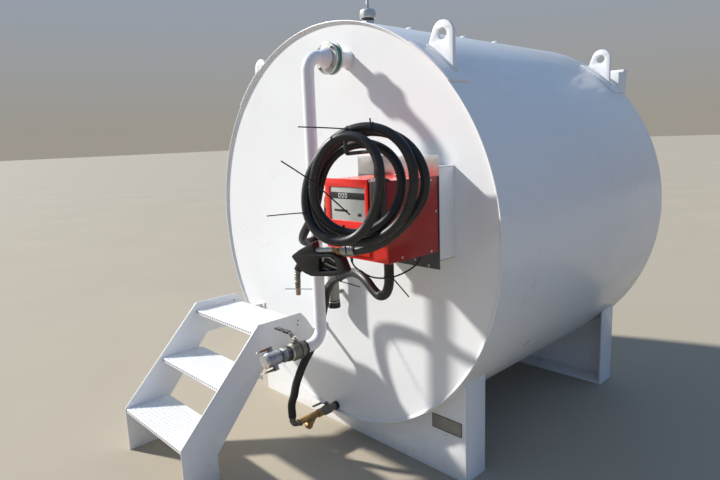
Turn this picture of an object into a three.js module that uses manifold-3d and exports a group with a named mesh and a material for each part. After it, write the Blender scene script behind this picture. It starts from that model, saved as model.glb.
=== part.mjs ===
// Horizontal fuel storage tank on two saddles, with a fill line, a pump unit and a set of steps.
// Millimetres, +Z up. The tank lies along Y: its front end faces -Y and carries the pump and the pipes.
// The origin is the centre of the front saddle's underside.
import * as THREE from 'three';
import { mergeVertices } from 'three/addons/utils/BufferGeometryUtils.js';
import Module from 'manifold-3d';

const wasm = await Module();
wasm.setup();

// Driving dimensions
const GAP = 0.3;
const TANK_RADIUS = 1050;
const TANK_LENGTH = 1800;
const TANK_AXIS_HEIGHT = 1170;
const SHELL_THICKNESS = 6;
const END_RECESS = 12;
const END_THICKNESS = 8;
const TANK_FACETS = 128;
const SADDLE_DEPTH = 160;
const SADDLE_HALF_WIDTH = 812;
const SADDLE_SETBACK = 78;
const SADDLE_PLATE = 10;
const SADDLE_BASE = 12;

// Distances along the tank are given from the front end of the shell, negative in front of it
const FRONT = -(SADDLE_SETBACK + SADDLE_DEPTH / 2);
const END_FACE = END_RECESS - GAP;

const FILL_X = 172;
const FILL_HEIGHT = 2021;
const FILL_PIPE_RADIUS = 30;
const FILL_DROP_Y = -244;
const FILL_VALVE_HEIGHT = 652;
const FILL_VALVE_START = -346;
const FILL_BEND = 76;

// The dust cap is turned about its own axis, and its two cam arms swing between pairs of ears
const CAP_TURN = THREE.MathUtils.degToRad(60);
const CAP_RADIUS = 36;
const ARM_PIVOT_X = 49;
const EAR_INNER = 30;
const EAR_REACH = 8;
const EAR_SPREAD = 7;
const EAR_THICKNESS = 6;

const DRAIN_X = -30;
const DRAIN_HEIGHT = 154;
const STRAINER_LENGTH = 150;
const DRAIN_ELBOW_REACH = 39;
const HOSE_RADIUS = 17.5;
const SUCTION_RADIUS = 21;

// A lifting lug is a plate with a round head and an eye, on a curved pad
const LUG_SETBACK = 102;
const LUG_EYE_X = 685;
const LUG_EYE_HEIGHT = 2075;
const LUG_EYE_RADIUS = 24;
const LUG_HEAD = 58;
const LUG_THICKNESS = 20;
const PAD_THICKNESS = 8;
const PAD_SPAN = [2, 150];
const PAD_ARC = [33.5, 48.5];

const STEP_LEFT = -724.5;
const STEP_RIGHT = -82;
const STEP_PLATE = 6;
const TREADS = [
  { name: 'step_tread_low', front: -905, top: 244, depth: 245 },
  { name: 'step_tread_middle', front: -676, top: 468, depth: 245 },
  { name: 'step_tread_top', front: -448, top: 693, depth: 280 },
];

const PUMP_LEFT = 459;
const PUMP_RIGHT = 803;
const PUMP_BOTTOM = 1161;
const PUMP_TOP = 1480.5;
const PUMP_PLATE_Y = -96;
const PUMP_DEPTH = 314;
const OUTLET_X = 329;
const OUTLET_Y = -296;
const OUTLET_MOUTH = 1340;
const INLET_X = 674;
const INLET_Y = -270;
const INLET_HEIGHT = 37;

// The hose coil hangs in a plane that is turned from the pump's front towards its right side
const COIL_TURN = THREE.MathUtils.degToRad(25);
const COIL_CENTRE_ALONG = 515;
const COIL_CENTRE_OUT = 835;
const COIL_CENTRE_HEIGHT = 1473;
const COIL_OUTER = 232;
const COIL_INNER = 130;
const COIL_HALF_DEPTH = 89;
const COIL_FACETS = 48;
const COIL_CHAMFER = 44;
const COIL_ALONG = new THREE.Vector3(Math.cos(COIL_TURN), Math.sin(COIL_TURN), 0);
const COIL_OUT = new THREE.Vector3(Math.sin(COIL_TURN), -Math.cos(COIL_TURN), 0);
const HOOK_RADIUS = 7;
const HOOK_FOOT_OUT = 643;

const NOZZLE_TURN = THREE.MathUtils.degToRad(18.4);
const NOZZLE_TILT = THREE.MathUtils.degToRad(6);
const NOZZLE_HEEL = new THREE.Vector3(644, FRONT - 470, 1206);

const WHITE = { color: 0xf2f3f4, roughness: 0.28, metalness: 0 };
const STEEL = { color: 0xb9bbbc, roughness: 0.35, metalness: 0.9 };
const DARK_STEEL = { color: 0x6c6a66, roughness: 0.4, metalness: 0.9 };
const CHROME = { color: 0xd5d8da, roughness: 0.15, metalness: 1 };
const BRASS = { color: 0xb08a45, roughness: 0.4, metalness: 0.9 };
const RED = { color: 0xc2201c, roughness: 0.35, metalness: 0 };
const GREY = { color: 0x4a4c50, roughness: 0.5, metalness: 0 };
const BLACK = { color: 0x17181a, roughness: 0.55, metalness: 0 };
const RUBBER = { color: 0x1e2022, roughness: 0.6, metalness: 0 };
const TEAL = { color: 0x1f6f62, roughness: 0.4, metalness: 0 };

const V = (x, y, z) => new THREE.Vector3(x, y, z);
const model = new THREE.Group();
model.name = 'horizontal_fuel_storage_tank';

// Shape helpers

// A closed geometry with shared vertices, no flat triangles and its faces pointing out
function closed(geometry) {
  geometry.deleteAttribute('normal');
  geometry.deleteAttribute('uv');
  const merged = mergeVertices(geometry, 1e-3);
  const at = merged.attributes.position;
  const index = merged.index.array;
  const kept = [];
  let volume = 0;
  for (let i = 0; i < index.length; i += 3) {
    const [a, b, c] = [index[i], index[i + 1], index[i + 2]];
    if (a !== b && b !== c && c !== a) {
      kept.push(a, b, c);
      const p = V(0, 0, 0).fromBufferAttribute(at, a);
      const q = V(0, 0, 0).fromBufferAttribute(at, b);
      volume += p.dot(q.cross(V(0, 0, 0).fromBufferAttribute(at, c)));
    }
  }
  if (volume < 0) {
    kept.reverse();
  }
  const result = new THREE.BufferGeometry();
  result.setAttribute('position', new THREE.Float32BufferAttribute(at.array, 3));
  result.setIndex(kept);
  return result;
}

function solid(geometry) {
  const body = closed(geometry);
  return new wasm.Manifold(new wasm.Mesh({
    numProp: 3,
    vertProperties: new Float32Array(body.attributes.position.array),
    triVerts: new Uint32Array(body.index.array),
  }));
}

function geometryOf(manifold) {
  const mesh = manifold.getMesh();
  const result = new THREE.BufferGeometry();
  result.setAttribute('position', new THREE.Float32BufferAttribute(mesh.vertProperties, 3));
  result.setIndex(Array.from(mesh.triVerts));
  return result;
}

function add(name, shape, finish, position = V(0, 0, 0)) {
  const geometry = shape.isBufferGeometry ? closed(shape) : geometryOf(shape);
  const mesh = new THREE.Mesh(geometry, new THREE.MeshStandardMaterial(finish));
  mesh.name = name;
  mesh.position.copy(position);
  model.add(mesh);
  return mesh;
}

// A box between two corners
function box(from, to) {
  const size = to.clone().sub(from);
  const middle = from.clone().add(to).multiplyScalar(0.5);
  return new THREE.BoxGeometry(size.x, size.y, size.z).translate(middle.x, middle.y, middle.z);
}

function outline(points) {
  return new THREE.Shape(points.map(([u, v]) => new THREE.Vector2(u, v)));
}

// An outline in X and Z, carried along Y from one distance to another
function alongY(shape, from, to, segments = 12) {
  const flat = new THREE.ExtrudeGeometry(shape, {
    depth: to - from, bevelEnabled: false, curveSegments: segments,
  });
  return flat.rotateX(Math.PI / 2).translate(0, to, 0);
}

// An outline in Y and Z, carried along X
function alongX(shape, from, to, segments = 12) {
  const flat = new THREE.ExtrudeGeometry(shape, {
    depth: to - from, bevelEnabled: false, curveSegments: segments,
  });
  const turn = new THREE.Matrix4().makeBasis(V(0, 1, 0), V(0, 0, 1), V(1, 0, 0));
  return flat.applyMatrix4(turn).translate(from, 0, 0);
}

// A body turned about Y from pairs of radius and distance
function turnedY(profile, facets = 24) {
  const points = profile.map(([r, y]) => new THREE.Vector2(r, y));
  return new THREE.LatheGeometry(points, facets);
}

// The same, turned about Z
function turnedZ(profile, facets = 24) {
  return turnedY(profile, facets).rotateX(Math.PI / 2);
}

// A run through given stations, with one section at each
class Centreline extends THREE.Curve {
  constructor(stations) {
    super();
    this.stations = stations;
  }

  getPoint(t, target = new THREE.Vector3()) {
    const along = t * (this.stations.length - 1);
    const i = Math.min(Math.floor(along), this.stations.length - 2);
    return target.lerpVectors(this.stations[i], this.stations[i + 1], along - i);
  }

  getPointAt(t, target) {
    return this.getPoint(t, target);
  }

  getTangentAt(t, target) {
    return this.getTangent(t, target);
  }
}

function tube(stations, radius, sides) {
  const ring = [];
  for (let i = 0; i < sides; i += 1) {
    const angle = (2 * Math.PI * i) / sides;
    ring.push([radius * Math.cos(angle), radius * Math.sin(angle)]);
  }
  return new THREE.ExtrudeGeometry(outline(ring), {
    steps: stations.length - 1, bevelEnabled: false, extrudePath: new Centreline(stations),
  });
}

// Stations round a bend of the given radius at a corner between two directions
function bend(corner, before, after, radius, steps) {
  const turn = before.angleTo(after);
  const start = corner.clone().addScaledVector(before, -radius * Math.tan(turn / 2));
  const side = after.clone().addScaledVector(before, -after.dot(before)).normalize();
  const stations = [];
  for (let i = 0; i <= steps; i += 1) {
    const angle = (turn * i) / steps;
    stations.push(start.clone()
      .addScaledVector(before, radius * Math.sin(angle))
      .addScaledVector(side, radius * (1 - Math.cos(angle))));
  }
  return stations;
}

// Stations at even spacing on a smooth curve through hand-picked points. A short straight lead at
// each end keeps the end faces square to the curve.
function smoothRun(points, spacing) {
  const curve = new THREE.CatmullRomCurve3(points.map((p) => V(...p)), false, 'centripetal');
  const stations = curve.getSpacedPoints(Math.round(curve.getLength() / spacing));
  const lead = stations[0].clone().addScaledVector(curve.getTangent(0), 3);
  const trail = stations[stations.length - 1].clone().addScaledVector(curve.getTangent(1), -3);
  stations.splice(1, 0, lead);
  stations.splice(-1, 0, trail);
  return stations;
}

// Everything that the tank's outside takes up, with the clearance round it
function tankBody() {
  const radius = TANK_RADIUS + GAP;
  const profile = [[0, FRONT - 50], [radius, FRONT - 50],
    [radius, FRONT + TANK_LENGTH + 50], [0, FRONT + TANK_LENGTH + 50]];
  return solid(turnedY(profile, TANK_FACETS).translate(0, 0, TANK_AXIS_HEIGHT));
}

// The tank: an open shell with a flat plate let into each end

function makeTank() {
  const inner = TANK_RADIUS - SHELL_THICKNESS;
  const shell = [[inner, 0], [TANK_RADIUS, 0], [TANK_RADIUS, TANK_LENGTH], [inner, TANK_LENGTH],
    [inner, 0]];
  add('tank_shell', turnedY(shell, TANK_FACETS), WHITE, V(0, FRONT, TANK_AXIS_HEIGHT));
  const plate = [[0, 0], [inner - GAP, 0], [inner - GAP, END_THICKNESS], [0, END_THICKNESS]];
  const rearPlateY = FRONT + TANK_LENGTH - END_RECESS - END_THICKNESS;
  add('front_end_plate', turnedY(plate, TANK_FACETS), WHITE, V(0, FRONT + END_RECESS, TANK_AXIS_HEIGHT));
  add('rear_end_plate', turnedY(plate, TANK_FACETS), WHITE, V(0, rearPlateY, TANK_AXIS_HEIGHT));
}

// A saddle: a web plate cut to the shell's curve, a side plate at each end of it and a base plate. Its
// open side faces the middle of the tank.
function makeSaddle(name, y, openSide) {
  const half = SADDLE_DEPTH / 2;
  const reach = SADDLE_HALF_WIDTH;
  const outer = solid(box(V(-reach, -half, 0), V(reach, half, 620)));
  const [near, far] = openSide > 0 ? [SADDLE_PLATE - half, half + 1] : [-half - 1, half - SADDLE_PLATE];
  const pocket = solid(box(V(SADDLE_PLATE - reach, near, SADDLE_BASE), V(reach - SADDLE_PLATE, far, 700)));
  const tank = tankBody().translate(0, -y, 0);
  add(name, outer.subtract(pocket).subtract(tank), WHITE, V(0, y, 0));
}

function makeLug(name, side, y) {
  const head = new THREE.Shape();
  const slant = THREE.MathUtils.degToRad(157);
  head.moveTo(LUG_EYE_X + LUG_HEAD, LUG_EYE_HEIGHT);
  head.absarc(LUG_EYE_X, LUG_EYE_HEIGHT, LUG_HEAD, 0, slant, false);
  head.lineTo(588, 1990);
  head.lineTo(620, 1900);
  head.lineTo(LUG_EYE_X + LUG_HEAD, 1840);
  const eye = new THREE.Path();
  eye.absarc(LUG_EYE_X, LUG_EYE_HEIGHT, LUG_EYE_RADIUS, 0, 2 * Math.PI, true);
  head.holes.push(eye);
  const half = LUG_THICKNESS / 2;
  const plate = solid(alongY(head, y - half, y + half, 16));
  const whole = plate.add(lugPad(y)).subtract(tankBody());
  add(name, side > 0 ? whole : whole.mirror([1, 0, 0]), WHITE);
}

// The pad under a lug: a slice of a ring that is a little wider than the shell
function lugPad(y) {
  const atFront = y < FRONT + TANK_LENGTH / 2;
  const near = atFront ? y - LUG_SETBACK + PAD_SPAN[0] : y + LUG_SETBACK - PAD_SPAN[1];
  const far = near + PAD_SPAN[1] - PAD_SPAN[0];
  const radius = TANK_RADIUS + GAP + PAD_THICKNESS;
  const ring = solid(turnedY([[0, near], [radius, near], [radius, far], [0, far]], TANK_FACETS)
    .translate(0, 0, TANK_AXIS_HEIGHT));
  const [low, high] = PAD_ARC.map(THREE.MathUtils.degToRad);
  const corner = (angle, r) => [r * Math.sin(angle), TANK_AXIS_HEIGHT + r * Math.cos(angle)];
  const slice = outline([corner(low, TANK_RADIUS - 60), corner(low, TANK_RADIUS + 60),
    corner(high, TANK_RADIUS + 60), corner(high, TANK_RADIUS - 60)]);
  return ring.intersect(solid(alongY(slice, near, far)));
}

// The fittings along the top

function makeTop() {
  const crown = TANK_AXIS_HEIGHT + TANK_RADIUS + GAP;
  const vent = [[0, 0], [34, 0], [34, 26], [40, 28], [40, 44], [33, 48], [44, 56], [44, 92],
    [36, 104], [14, 108], [10, 150], [0, 150]];
  add('vent_cowl', turnedZ(vent, 24), STEEL, V(0, FRONT + 333, crown));
  const cap = [[0, 0], [26, 0], [26, 18], [32, 19], [32, 36], [26, 44], [12, 49], [0, 50]];
  const places = { top_cap_front: 680, top_cap_middle: 1202, top_cap_rear: 1568 };
  Object.entries(places).forEach(([name, y]) => {
    add(name, turnedZ(cap, 20), WHITE, V(0, FRONT + y, crown));
  });
}

// A small steel box on the rear end, high on the right
function makeRearBox() {
  const back = FRONT + TANK_LENGTH + GAP;
  const body = solid(box(V(630, back, 1848), V(756, back + 125, 2000)));
  const lid = solid(box(V(624, back + 60, 1998), V(762, back + 131, 2016)));
  add('rear_box', body.add(lid), WHITE);
}

// The fill line: socket, flanged union, pipe, valve, coupling and cap

function makeFillLine() {
  const at = V(FILL_X, FRONT, FILL_HEIGHT);
  const socket = [[0, END_FACE], [38, END_FACE], [38, -83], [0, -83]];
  add('fill_socket', turnedY(socket), WHITE, at);
  const rear = -83 - GAP;
  const union = [[0, rear], [75, rear], [75, rear - 11], [70, rear - 12], [70, rear - 34],
    [75, rear - 35], [75, rear - 46], [0, rear - 46]];
  add('fill_union', turnedY(union, 32), TEAL, at);
  const face = rear - 46 - GAP;
  const cone = solid(turnedY([[0, face], [52, face], [50, face - 14], [31, face - 44], [0, face - 44]], 24)
    .translate(at.x, at.y, at.z));
  const back = V(0, -1, 0);
  const down = V(0, 0, -1);
  const top = V(FILL_X, FRONT + FILL_DROP_Y, FILL_HEIGHT);
  const foot = V(FILL_X, FRONT + FILL_DROP_Y, FILL_VALVE_HEIGHT);
  const stations = [
    V(FILL_X, FRONT + face - 30, FILL_HEIGHT),
    ...bend(top, back, down, 62, 8),
    ...bend(foot, down, back, FILL_BEND, 8),
    V(FILL_X, FRONT + FILL_VALVE_START, FILL_VALVE_HEIGHT),
  ];
  add('fill_pipe', cone.add(solid(tube(stations, FILL_PIPE_RADIUS, 20))), WHITE);

  const low = V(FILL_X, FRONT, FILL_VALVE_HEIGHT);
  const start = FILL_VALVE_START - GAP;
  const valve = solid(turnedY([[0, start], [40, start], [40, start - 22], [44, start - 26],
    [44, start - 92], [38, start - 98], [38, start - 118], [0, start - 118]]));
  const bonnet = solid(turnedZ([[0, 30], [17, 30], [17, 58], [0, 58]], 12).translate(0, start - 60, 0));
  add('fill_valve_body', valve.add(bonnet), DARK_STEEL, low);
  const next = start - 118 - GAP;
  const adaptor = [[0, next], [30, next], [30, next - 6], [36, next - 8], [36, next - 22], [30, next - 24],
    [30, next - 42], [34, next - 44], [34, next - 58], [0, next - 58]];
  add('fill_adaptor', turnedY(adaptor), STEEL, low);
  const cap = next - 58 - GAP;
  const shell = solid(turnedY([[0, cap], [CAP_RADIUS - 1, cap], [CAP_RADIUS, cap - 10],
    [CAP_RADIUS, cap - 56], [CAP_RADIUS - 6, cap - 66], [0, cap - 66]]));
  const pivot = cap - 16;
  const ears = [-1, 1].flatMap((side) => [-EAR_THICKNESS - EAR_SPREAD, EAR_SPREAD].map((z) => {
    const near = side > 0 ? EAR_INNER : -ARM_PIVOT_X - EAR_REACH;
    const far = side > 0 ? ARM_PIVOT_X + EAR_REACH : -EAR_INNER;
    return solid(box(V(near, pivot - 9, z), V(far, pivot + 9, z + EAR_THICKNESS)));
  }));
  const dustCap = ears.reduce((whole, ear) => whole.add(ear), shell);
  add('dust_cap', dustCap, CHROME, low).rotation.y = CAP_TURN;
  return { low, stem: start - 60, pivot };
}

// A lever handle that turns on a stem: a strap that rises from the stem and runs out flat
function leverHandle(length, width, rise) {
  const side = outline([[0, 0], [18, 0], [34, rise], [length, rise], [length, rise + 5], [31, rise + 5],
    [15, 5], [-14, 5], [-14, 0]]);
  const flat = new THREE.ExtrudeGeometry(side, { depth: width, bevelEnabled: false });
  return flat.rotateX(Math.PI / 2).translate(0, width / 2, 0);
}

function makeFillMoving({ low, stem, pivot }) {
  const handle = leverHandle(150, 22, 22).rotateZ(Math.PI);
  add('fill_valve_lever', handle, DARK_STEEL, V(low.x, low.y + stem, low.z + 58 + GAP));
  const half = EAR_SPREAD - 0.5;
  const profile = [[-4, -74], [4, -74], [5, -40], [7, -6], [7, 3], [4, 7], [-4, 7], [-7, 3], [-7, -6],
    [-5, -40]];
  [['cam_arm_left', -1], ['cam_arm_right', 1]].forEach(([name, side]) => {
    const arm = new THREE.ExtrudeGeometry(outline(profile), { depth: 2 * half, bevelEnabled: false })
      .translate(side * ARM_PIVOT_X, pivot, -half);
    add(name, arm, BRASS, low).rotation.y = CAP_TURN;
  });
}

// The drain: valve, strainer, elbow and the hose up to the pump

function makeDrain() {
  const at = V(DRAIN_X, FRONT, DRAIN_HEIGHT);
  const body = solid(turnedY([[0, END_FACE], [24, END_FACE], [24, -40], [26, -44], [26, -88], [21, -92],
    [21, -112], [0, -112]], 20));
  const bonnet = solid(turnedZ([[0, 18], [10, 18], [10, 36], [0, 36]], 10).translate(0, -66, 0));
  add('drain_valve_body', body.add(bonnet), STEEL, at);
  const handle = leverHandle(96, 16, 14).rotateZ(THREE.MathUtils.degToRad(-90));
  add('drain_valve_lever', handle, DARK_STEEL, V(at.x, at.y - 66, at.z + 36 + GAP));
  const start = -112 - GAP;
  const end = start - STRAINER_LENGTH;
  const run = solid(turnedY([[0, start], [23, start], [23, start - 18], [18, start - 20],
    [18, end + 20], [22, end + 18], [22, end], [0, end]], 16));
  const leg = solid(turnedZ([[0, 0], [19, 0], [19, -58], [22, -58], [22, -74], [0, -74]], 16)
    .rotateX(THREE.MathUtils.degToRad(-40)).translate(0, start - 48, 0));
  add('y_strainer', run.add(leg), BRASS, at);
  const riseY = end - GAP - DRAIN_ELBOW_REACH;
  const stations = [
    V(0, end - GAP, 0),
    ...bend(V(0, riseY, 0), V(0, -1, 0), V(0, 0, 1), 28, 5),
    V(0, riseY, 46),
  ];
  add('drain_elbow', tube(stations, 16, 16), STEEL, at);
  return V(at.x, at.y + riseY, at.z + 46 + GAP);
}

// Points of the suction hose, from the drain elbow up behind the fill pipe to the pump
function suctionRoute(start) {
  const y = FRONT;
  return [
    [start.x, start.y, start.z],
    [start.x, start.y, start.z + 70],
    [-5, y - 299, 335],
    [6, y - 293, 389],
    [17, y - 281, 434],
    [25, y - 262, 481],
    [30, y - 238, 520],
    [35, y - 214, 554],
    [38, y - 182, 600],
    [41, y - 155, 655],
    [46, y - 134, 710],
    [54, y - 120, 768],
    [64, y - 114, 823],
    [84, y - 116, 871],
    [127, y - 127, 917],
    [193, y - 148, 960],
    [258, y - 171, 987],
    [358, y - 205, 1026],
    [448, y - 236, 1040],
    [519, y - 255, 1024],
    [570, y - 264, 992],
    [612, y - 268, 974],
    [650, y - 270, 988],
    [670, y - 270, 1028],
    [INLET_X, y + INLET_Y, 1080],
    [INLET_X, y + INLET_Y, PUMP_BOTTOM - INLET_HEIGHT],
  ];
}

function makeSuction(start) {
  add('suction_hose', tube(smoothRun(suctionRoute(start), 40), SUCTION_RADIUS, 12), RUBBER);
  const top = INLET_HEIGHT - 2 * GAP;
  const inlet = [[0, 0], [24, 0], [24, 14], [30, 16], [30, top], [0, top]];
  add('pump_inlet', turnedZ(inlet, 16), STEEL, V(INLET_X, FRONT + INLET_Y, PUMP_BOTTOM - INLET_HEIGHT + GAP));
}

// A tube for papers, with a cap at each end, held to the end plate by two straps
function makeDocumentTube() {
  const [x, y, z] = [54, FRONT - 45, 762];
  const [body, cap, length] = [30, 33, 262];
  const profile = [[0, 0], [cap, 0], [cap, 34], [body, 36], [body, length - 22], [cap, length - 20],
    [cap, length], [0, length]];
  const sleeve = solid(turnedZ(profile, 24).translate(x, y, z));
  const straps = [70, 190].map((up) => {
    const from = V(x - 12, y + 20, z + up);
    return solid(box(from, V(x + 12, FRONT + END_FACE, z + up + 20)));
  });
  add('document_tube', straps.reduce((whole, strap) => whole.add(strap), sleeve), GREY);
}

// The steps: two side plates and three folded treads

function makeSteps() {
  const side = outline([[-909, 0], [-723, 0], [-723, 147], [-385, 543], [-91, 543], [-91, 628],
    [-133, 694], [-170, 735], [-441, 735], [-909, 244]]);
  const sides = [['step_side_left', STEP_LEFT, 1], ['step_side_right', STEP_RIGHT - STEP_PLATE, -1]];
  sides.forEach(([name, x, inward]) => {
    const plate = solid(alongX(side, x, x + STEP_PLATE).translate(0, FRONT, 0));
    const near = inward > 0 ? x + STEP_PLATE - 1 : x - 5;
    const far = inward > 0 ? x + STEP_PLATE + 40 : x - 40;
    const tab = solid(box(V(Math.min(near, near + 6), FRONT - 160, 596), V(Math.max(near, near + 6),
      FRONT + END_FACE, 640)));
    const foot = solid(box(V(Math.min(near, far), FRONT + END_FACE - 6, 596), V(Math.max(near, far),
      FRONT + END_FACE, 640)));
    add(name, plate.add(tab).add(foot), WHITE);
  });
  const from = STEP_LEFT + STEP_PLATE + GAP;
  const to = STEP_RIGHT - STEP_PLATE - GAP;
  TREADS.forEach(({ name, front, top, depth }) => {
    const section = outline([[0, 0], [depth, 0], [depth, -30], [depth - 4, -30], [depth - 4, -4],
      [4, -4], [4, -36], [18, -36], [18, -40], [0, -40]]);
    add(name, alongX(section, from, to), WHITE, V(0, FRONT + front, top));
  });
}

// The pump unit on its bracket

function makePump() {
  const y = FRONT + PUMP_PLATE_Y;
  const bracket = solid(box(V(350, y + 3 + GAP, 1120), V(806, FRONT + END_FACE, 1516)));
  const pocket = solid(box(V(354, y + 7 + GAP, 1124), V(802, FRONT + 40, 1512)));
  add('pump_bracket', bracket.subtract(pocket), WHITE);
  add('pump_back_plate', box(V(327, y, 1082), V(806, y + 3, 1565)), GREY);
  const cabinet = new THREE.Shape();
  const [l, r, b, t, c] = [PUMP_LEFT, PUMP_RIGHT, y - PUMP_DEPTH, y - GAP, 5];
  cabinet.moveTo(l, t);
  cabinet.lineTo(l, b + c);
  cabinet.absarc(l + c, b + c, c, Math.PI, 1.5 * Math.PI, false);
  cabinet.absarc(r - c, b + c, c, 1.5 * Math.PI, 2 * Math.PI, false);
  cabinet.lineTo(r, t);
  const block = new THREE.ExtrudeGeometry(cabinet, {
    depth: PUMP_TOP - PUMP_BOTTOM, bevelEnabled: false, curveSegments: 3,
  }).translate(0, 0, PUMP_BOTTOM);
  add('pump_cabinet', block, RED);
  const front = b - GAP;
  const frame = solid(box(V(PUMP_LEFT, front - 8, 1180), V(712, front, 1486)));
  const recess = solid(box(V(489, front - 20, 1316), V(693, front - 5, 1452)));
  add('pump_console', frame.subtract(recess), RED);
  add('nozzle_holster', holster(front), BLACK);
  add('pump_body', pumpBody(y), BLACK);
  const elbow = V(OUTLET_X, FRONT + OUTLET_Y, OUTLET_MOUTH + 60);
  const outlet = [
    elbow.clone().setX(PUMP_LEFT - 96 - GAP),
    ...bend(elbow, V(-1, 0, 0), V(0, 0, -1), 26, 5),
    elbow.clone().setZ(OUTLET_MOUTH),
  ];
  add('pump_outlet', tube(outlet, 16, 16), BRASS);
}

// The moulded holster on the cabinet's right front corner, with a low arched hood over its top
function holster(front) {
  const boot = new THREE.Shape();
  boot.moveTo(716, front);
  boot.quadraticCurveTo(716, front - 42, 758, front - 42);
  boot.quadraticCurveTo(PUMP_RIGHT, front - 42, PUMP_RIGHT, front - 16);
  boot.lineTo(PUMP_RIGHT, front);
  const seat = PUMP_TOP + GAP;
  const body = new THREE.ExtrudeGeometry(boot, {
    depth: seat + 1 - 1258, bevelEnabled: false, curveSegments: 8,
  }).translate(0, 0, 1258);
  const arch = new THREE.Shape();
  arch.moveTo(front - 42, seat);
  arch.quadraticCurveTo(front - 4, seat + 27, front + 34, seat);
  return solid(body).add(solid(alongX(arch, 752, PUMP_RIGHT)));
}

// The pump's cast body, between the back plate and the left side of the cabinet
function pumpBody(y) {
  const block = solid(box(V(PUMP_LEFT - 92, y - 240, 1230), V(PUMP_LEFT - GAP, y - GAP, 1440)));
  const drum = solid(turnedY([[0, y - 262], [46, y - 262], [46, y - 230], [0, y - 230]], 20)
    .translate(PUMP_LEFT - 46, 0, 1300));
  const boss = solid(box(V(PUMP_LEFT - 96, y - 222, 1378), V(PUMP_LEFT - 80, y - 178, 1422)));
  return block.add(drum).add(boss);
}

// A point in the frame of the coil: to the right of its centre, out to the front, and above its centre
function coilPoint(along, out, above) {
  return V(0, FRONT, 0).addScaledVector(COIL_ALONG, COIL_CENTRE_ALONG + along)
    .addScaledVector(COIL_OUT, out).setZ(COIL_CENTRE_HEIGHT + above);
}

function coilRing(clearance) {
  const [ri, ro, half] = [COIL_INNER - clearance, COIL_OUTER + clearance, COIL_HALF_DEPTH + clearance];
  const cut = COIL_CHAMFER;
  const profile = [[ri + cut, -half], [ro - cut, -half], [ro, cut - half], [ro, half - cut],
    [ro - cut, half], [ri + cut, half], [ri, half - cut], [ri, cut - half], [ri + cut, -half]];
  const centre = coilPoint(0, COIL_CENTRE_OUT, 0);
  return turnedY(profile, COIL_FACETS).rotateZ(COIL_TURN).translate(centre.x, centre.y, centre.z);
}

// The hook on the cabinet that the coil hangs from
function makeHook() {
  const facet = (1.5 * 2 * Math.PI) / COIL_FACETS;
  const seat = COIL_INNER * Math.cos(Math.PI / COIL_FACETS) - HOOK_RADIUS - GAP;
  const along = -seat * Math.sin(facet);
  const above = seat * Math.cos(facet);
  const corner = coilPoint(along, HOOK_FOOT_OUT, above);
  const low = corner.clone().setZ(PUMP_TOP + GAP);
  const end = coilPoint(along, COIL_CENTRE_OUT + COIL_HALF_DEPTH + 16, above);
  const up = V(0, 0, 1);
  const stations = [
    low,
    ...bend(corner, up, COIL_OUT, 24, 5),
    ...bend(end, COIL_OUT, up, 16, 5),
    end.clone().add(V(0, 0, 44)),
  ];
  const foot = solid(box(V(low.x - 26, low.y - 20, PUMP_TOP + GAP), V(low.x + 26, low.y + 20,
    PUMP_TOP + GAP + 4)));
  add('hose_hook', solid(tube(stations, HOOK_RADIUS, 12)).add(foot), BLACK);
}

// The delivery hose: the stretch from the pump, the coil, and the stretch to the nozzle

function makeDeliveryHose() {
  add('delivery_hose_coil', coilRing(0), RUBBER);
  const clear = solid(coilRing(GAP));
  const lead = tube(smoothRun(leadRoute(), 40), HOSE_RADIUS, 12);
  add('delivery_hose_lead', solid(lead).subtract(clear), RUBBER);
  const tail = tube(smoothRun(tailRoute(), 35), HOSE_RADIUS, 12);
  add('delivery_hose_tail', solid(tail).subtract(clear), RUBBER);
}

// Points from the pump's outlet down, forward and up into the left side of the coil, as distances
// from the outlet's mouth
function leadRoute() {
  const mouth = V(OUTLET_X, FRONT + OUTLET_Y, OUTLET_MOUTH - GAP);
  return [
    [0, 0, 0], [0, 0, -40], [0, -11, -78], [2, -40, -112], [7, -80, -134], [17, -126, -142],
    [35, -170, -136], [63, -208, -118], [99, -236, -92], [141, -254, -62], [185, -264, -30],
    [223, -269, 6], [251, -271, 46], [268, -271, 90], [275, -270, 133],
  ].map((step) => mouth.clone().add(V(...step)).toArray());
}

// Points from the nozzle's swivel up to the underside of the coil
function tailRoute() {
  const axis = V(Math.cos(NOZZLE_TURN) * Math.cos(NOZZLE_TILT),
    Math.sin(NOZZLE_TURN) * Math.cos(NOZZLE_TILT), Math.sin(NOZZLE_TILT));
  return [
    NOZZLE_HEEL.clone().addScaledVector(axis, GAP).toArray(),
    NOZZLE_HEEL.clone().addScaledVector(axis, 50).toArray(),
    coilPoint(-16, 738, -246).toArray(),
    coilPoint(52, 762, -212).toArray(),
    coilPoint(112, 770, -164).toArray(),
    coilPoint(160, 776, -110).toArray(),
  ];
}

// The nozzle, modelled lying along X with its heel at the origin, then turned into place

function place(shape) {
  return shape.rotateY(-NOZZLE_TILT).rotateZ(NOZZLE_TURN)
    .translate(NOZZLE_HEEL.x, NOZZLE_HEEL.y, NOZZLE_HEEL.z);
}

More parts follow.
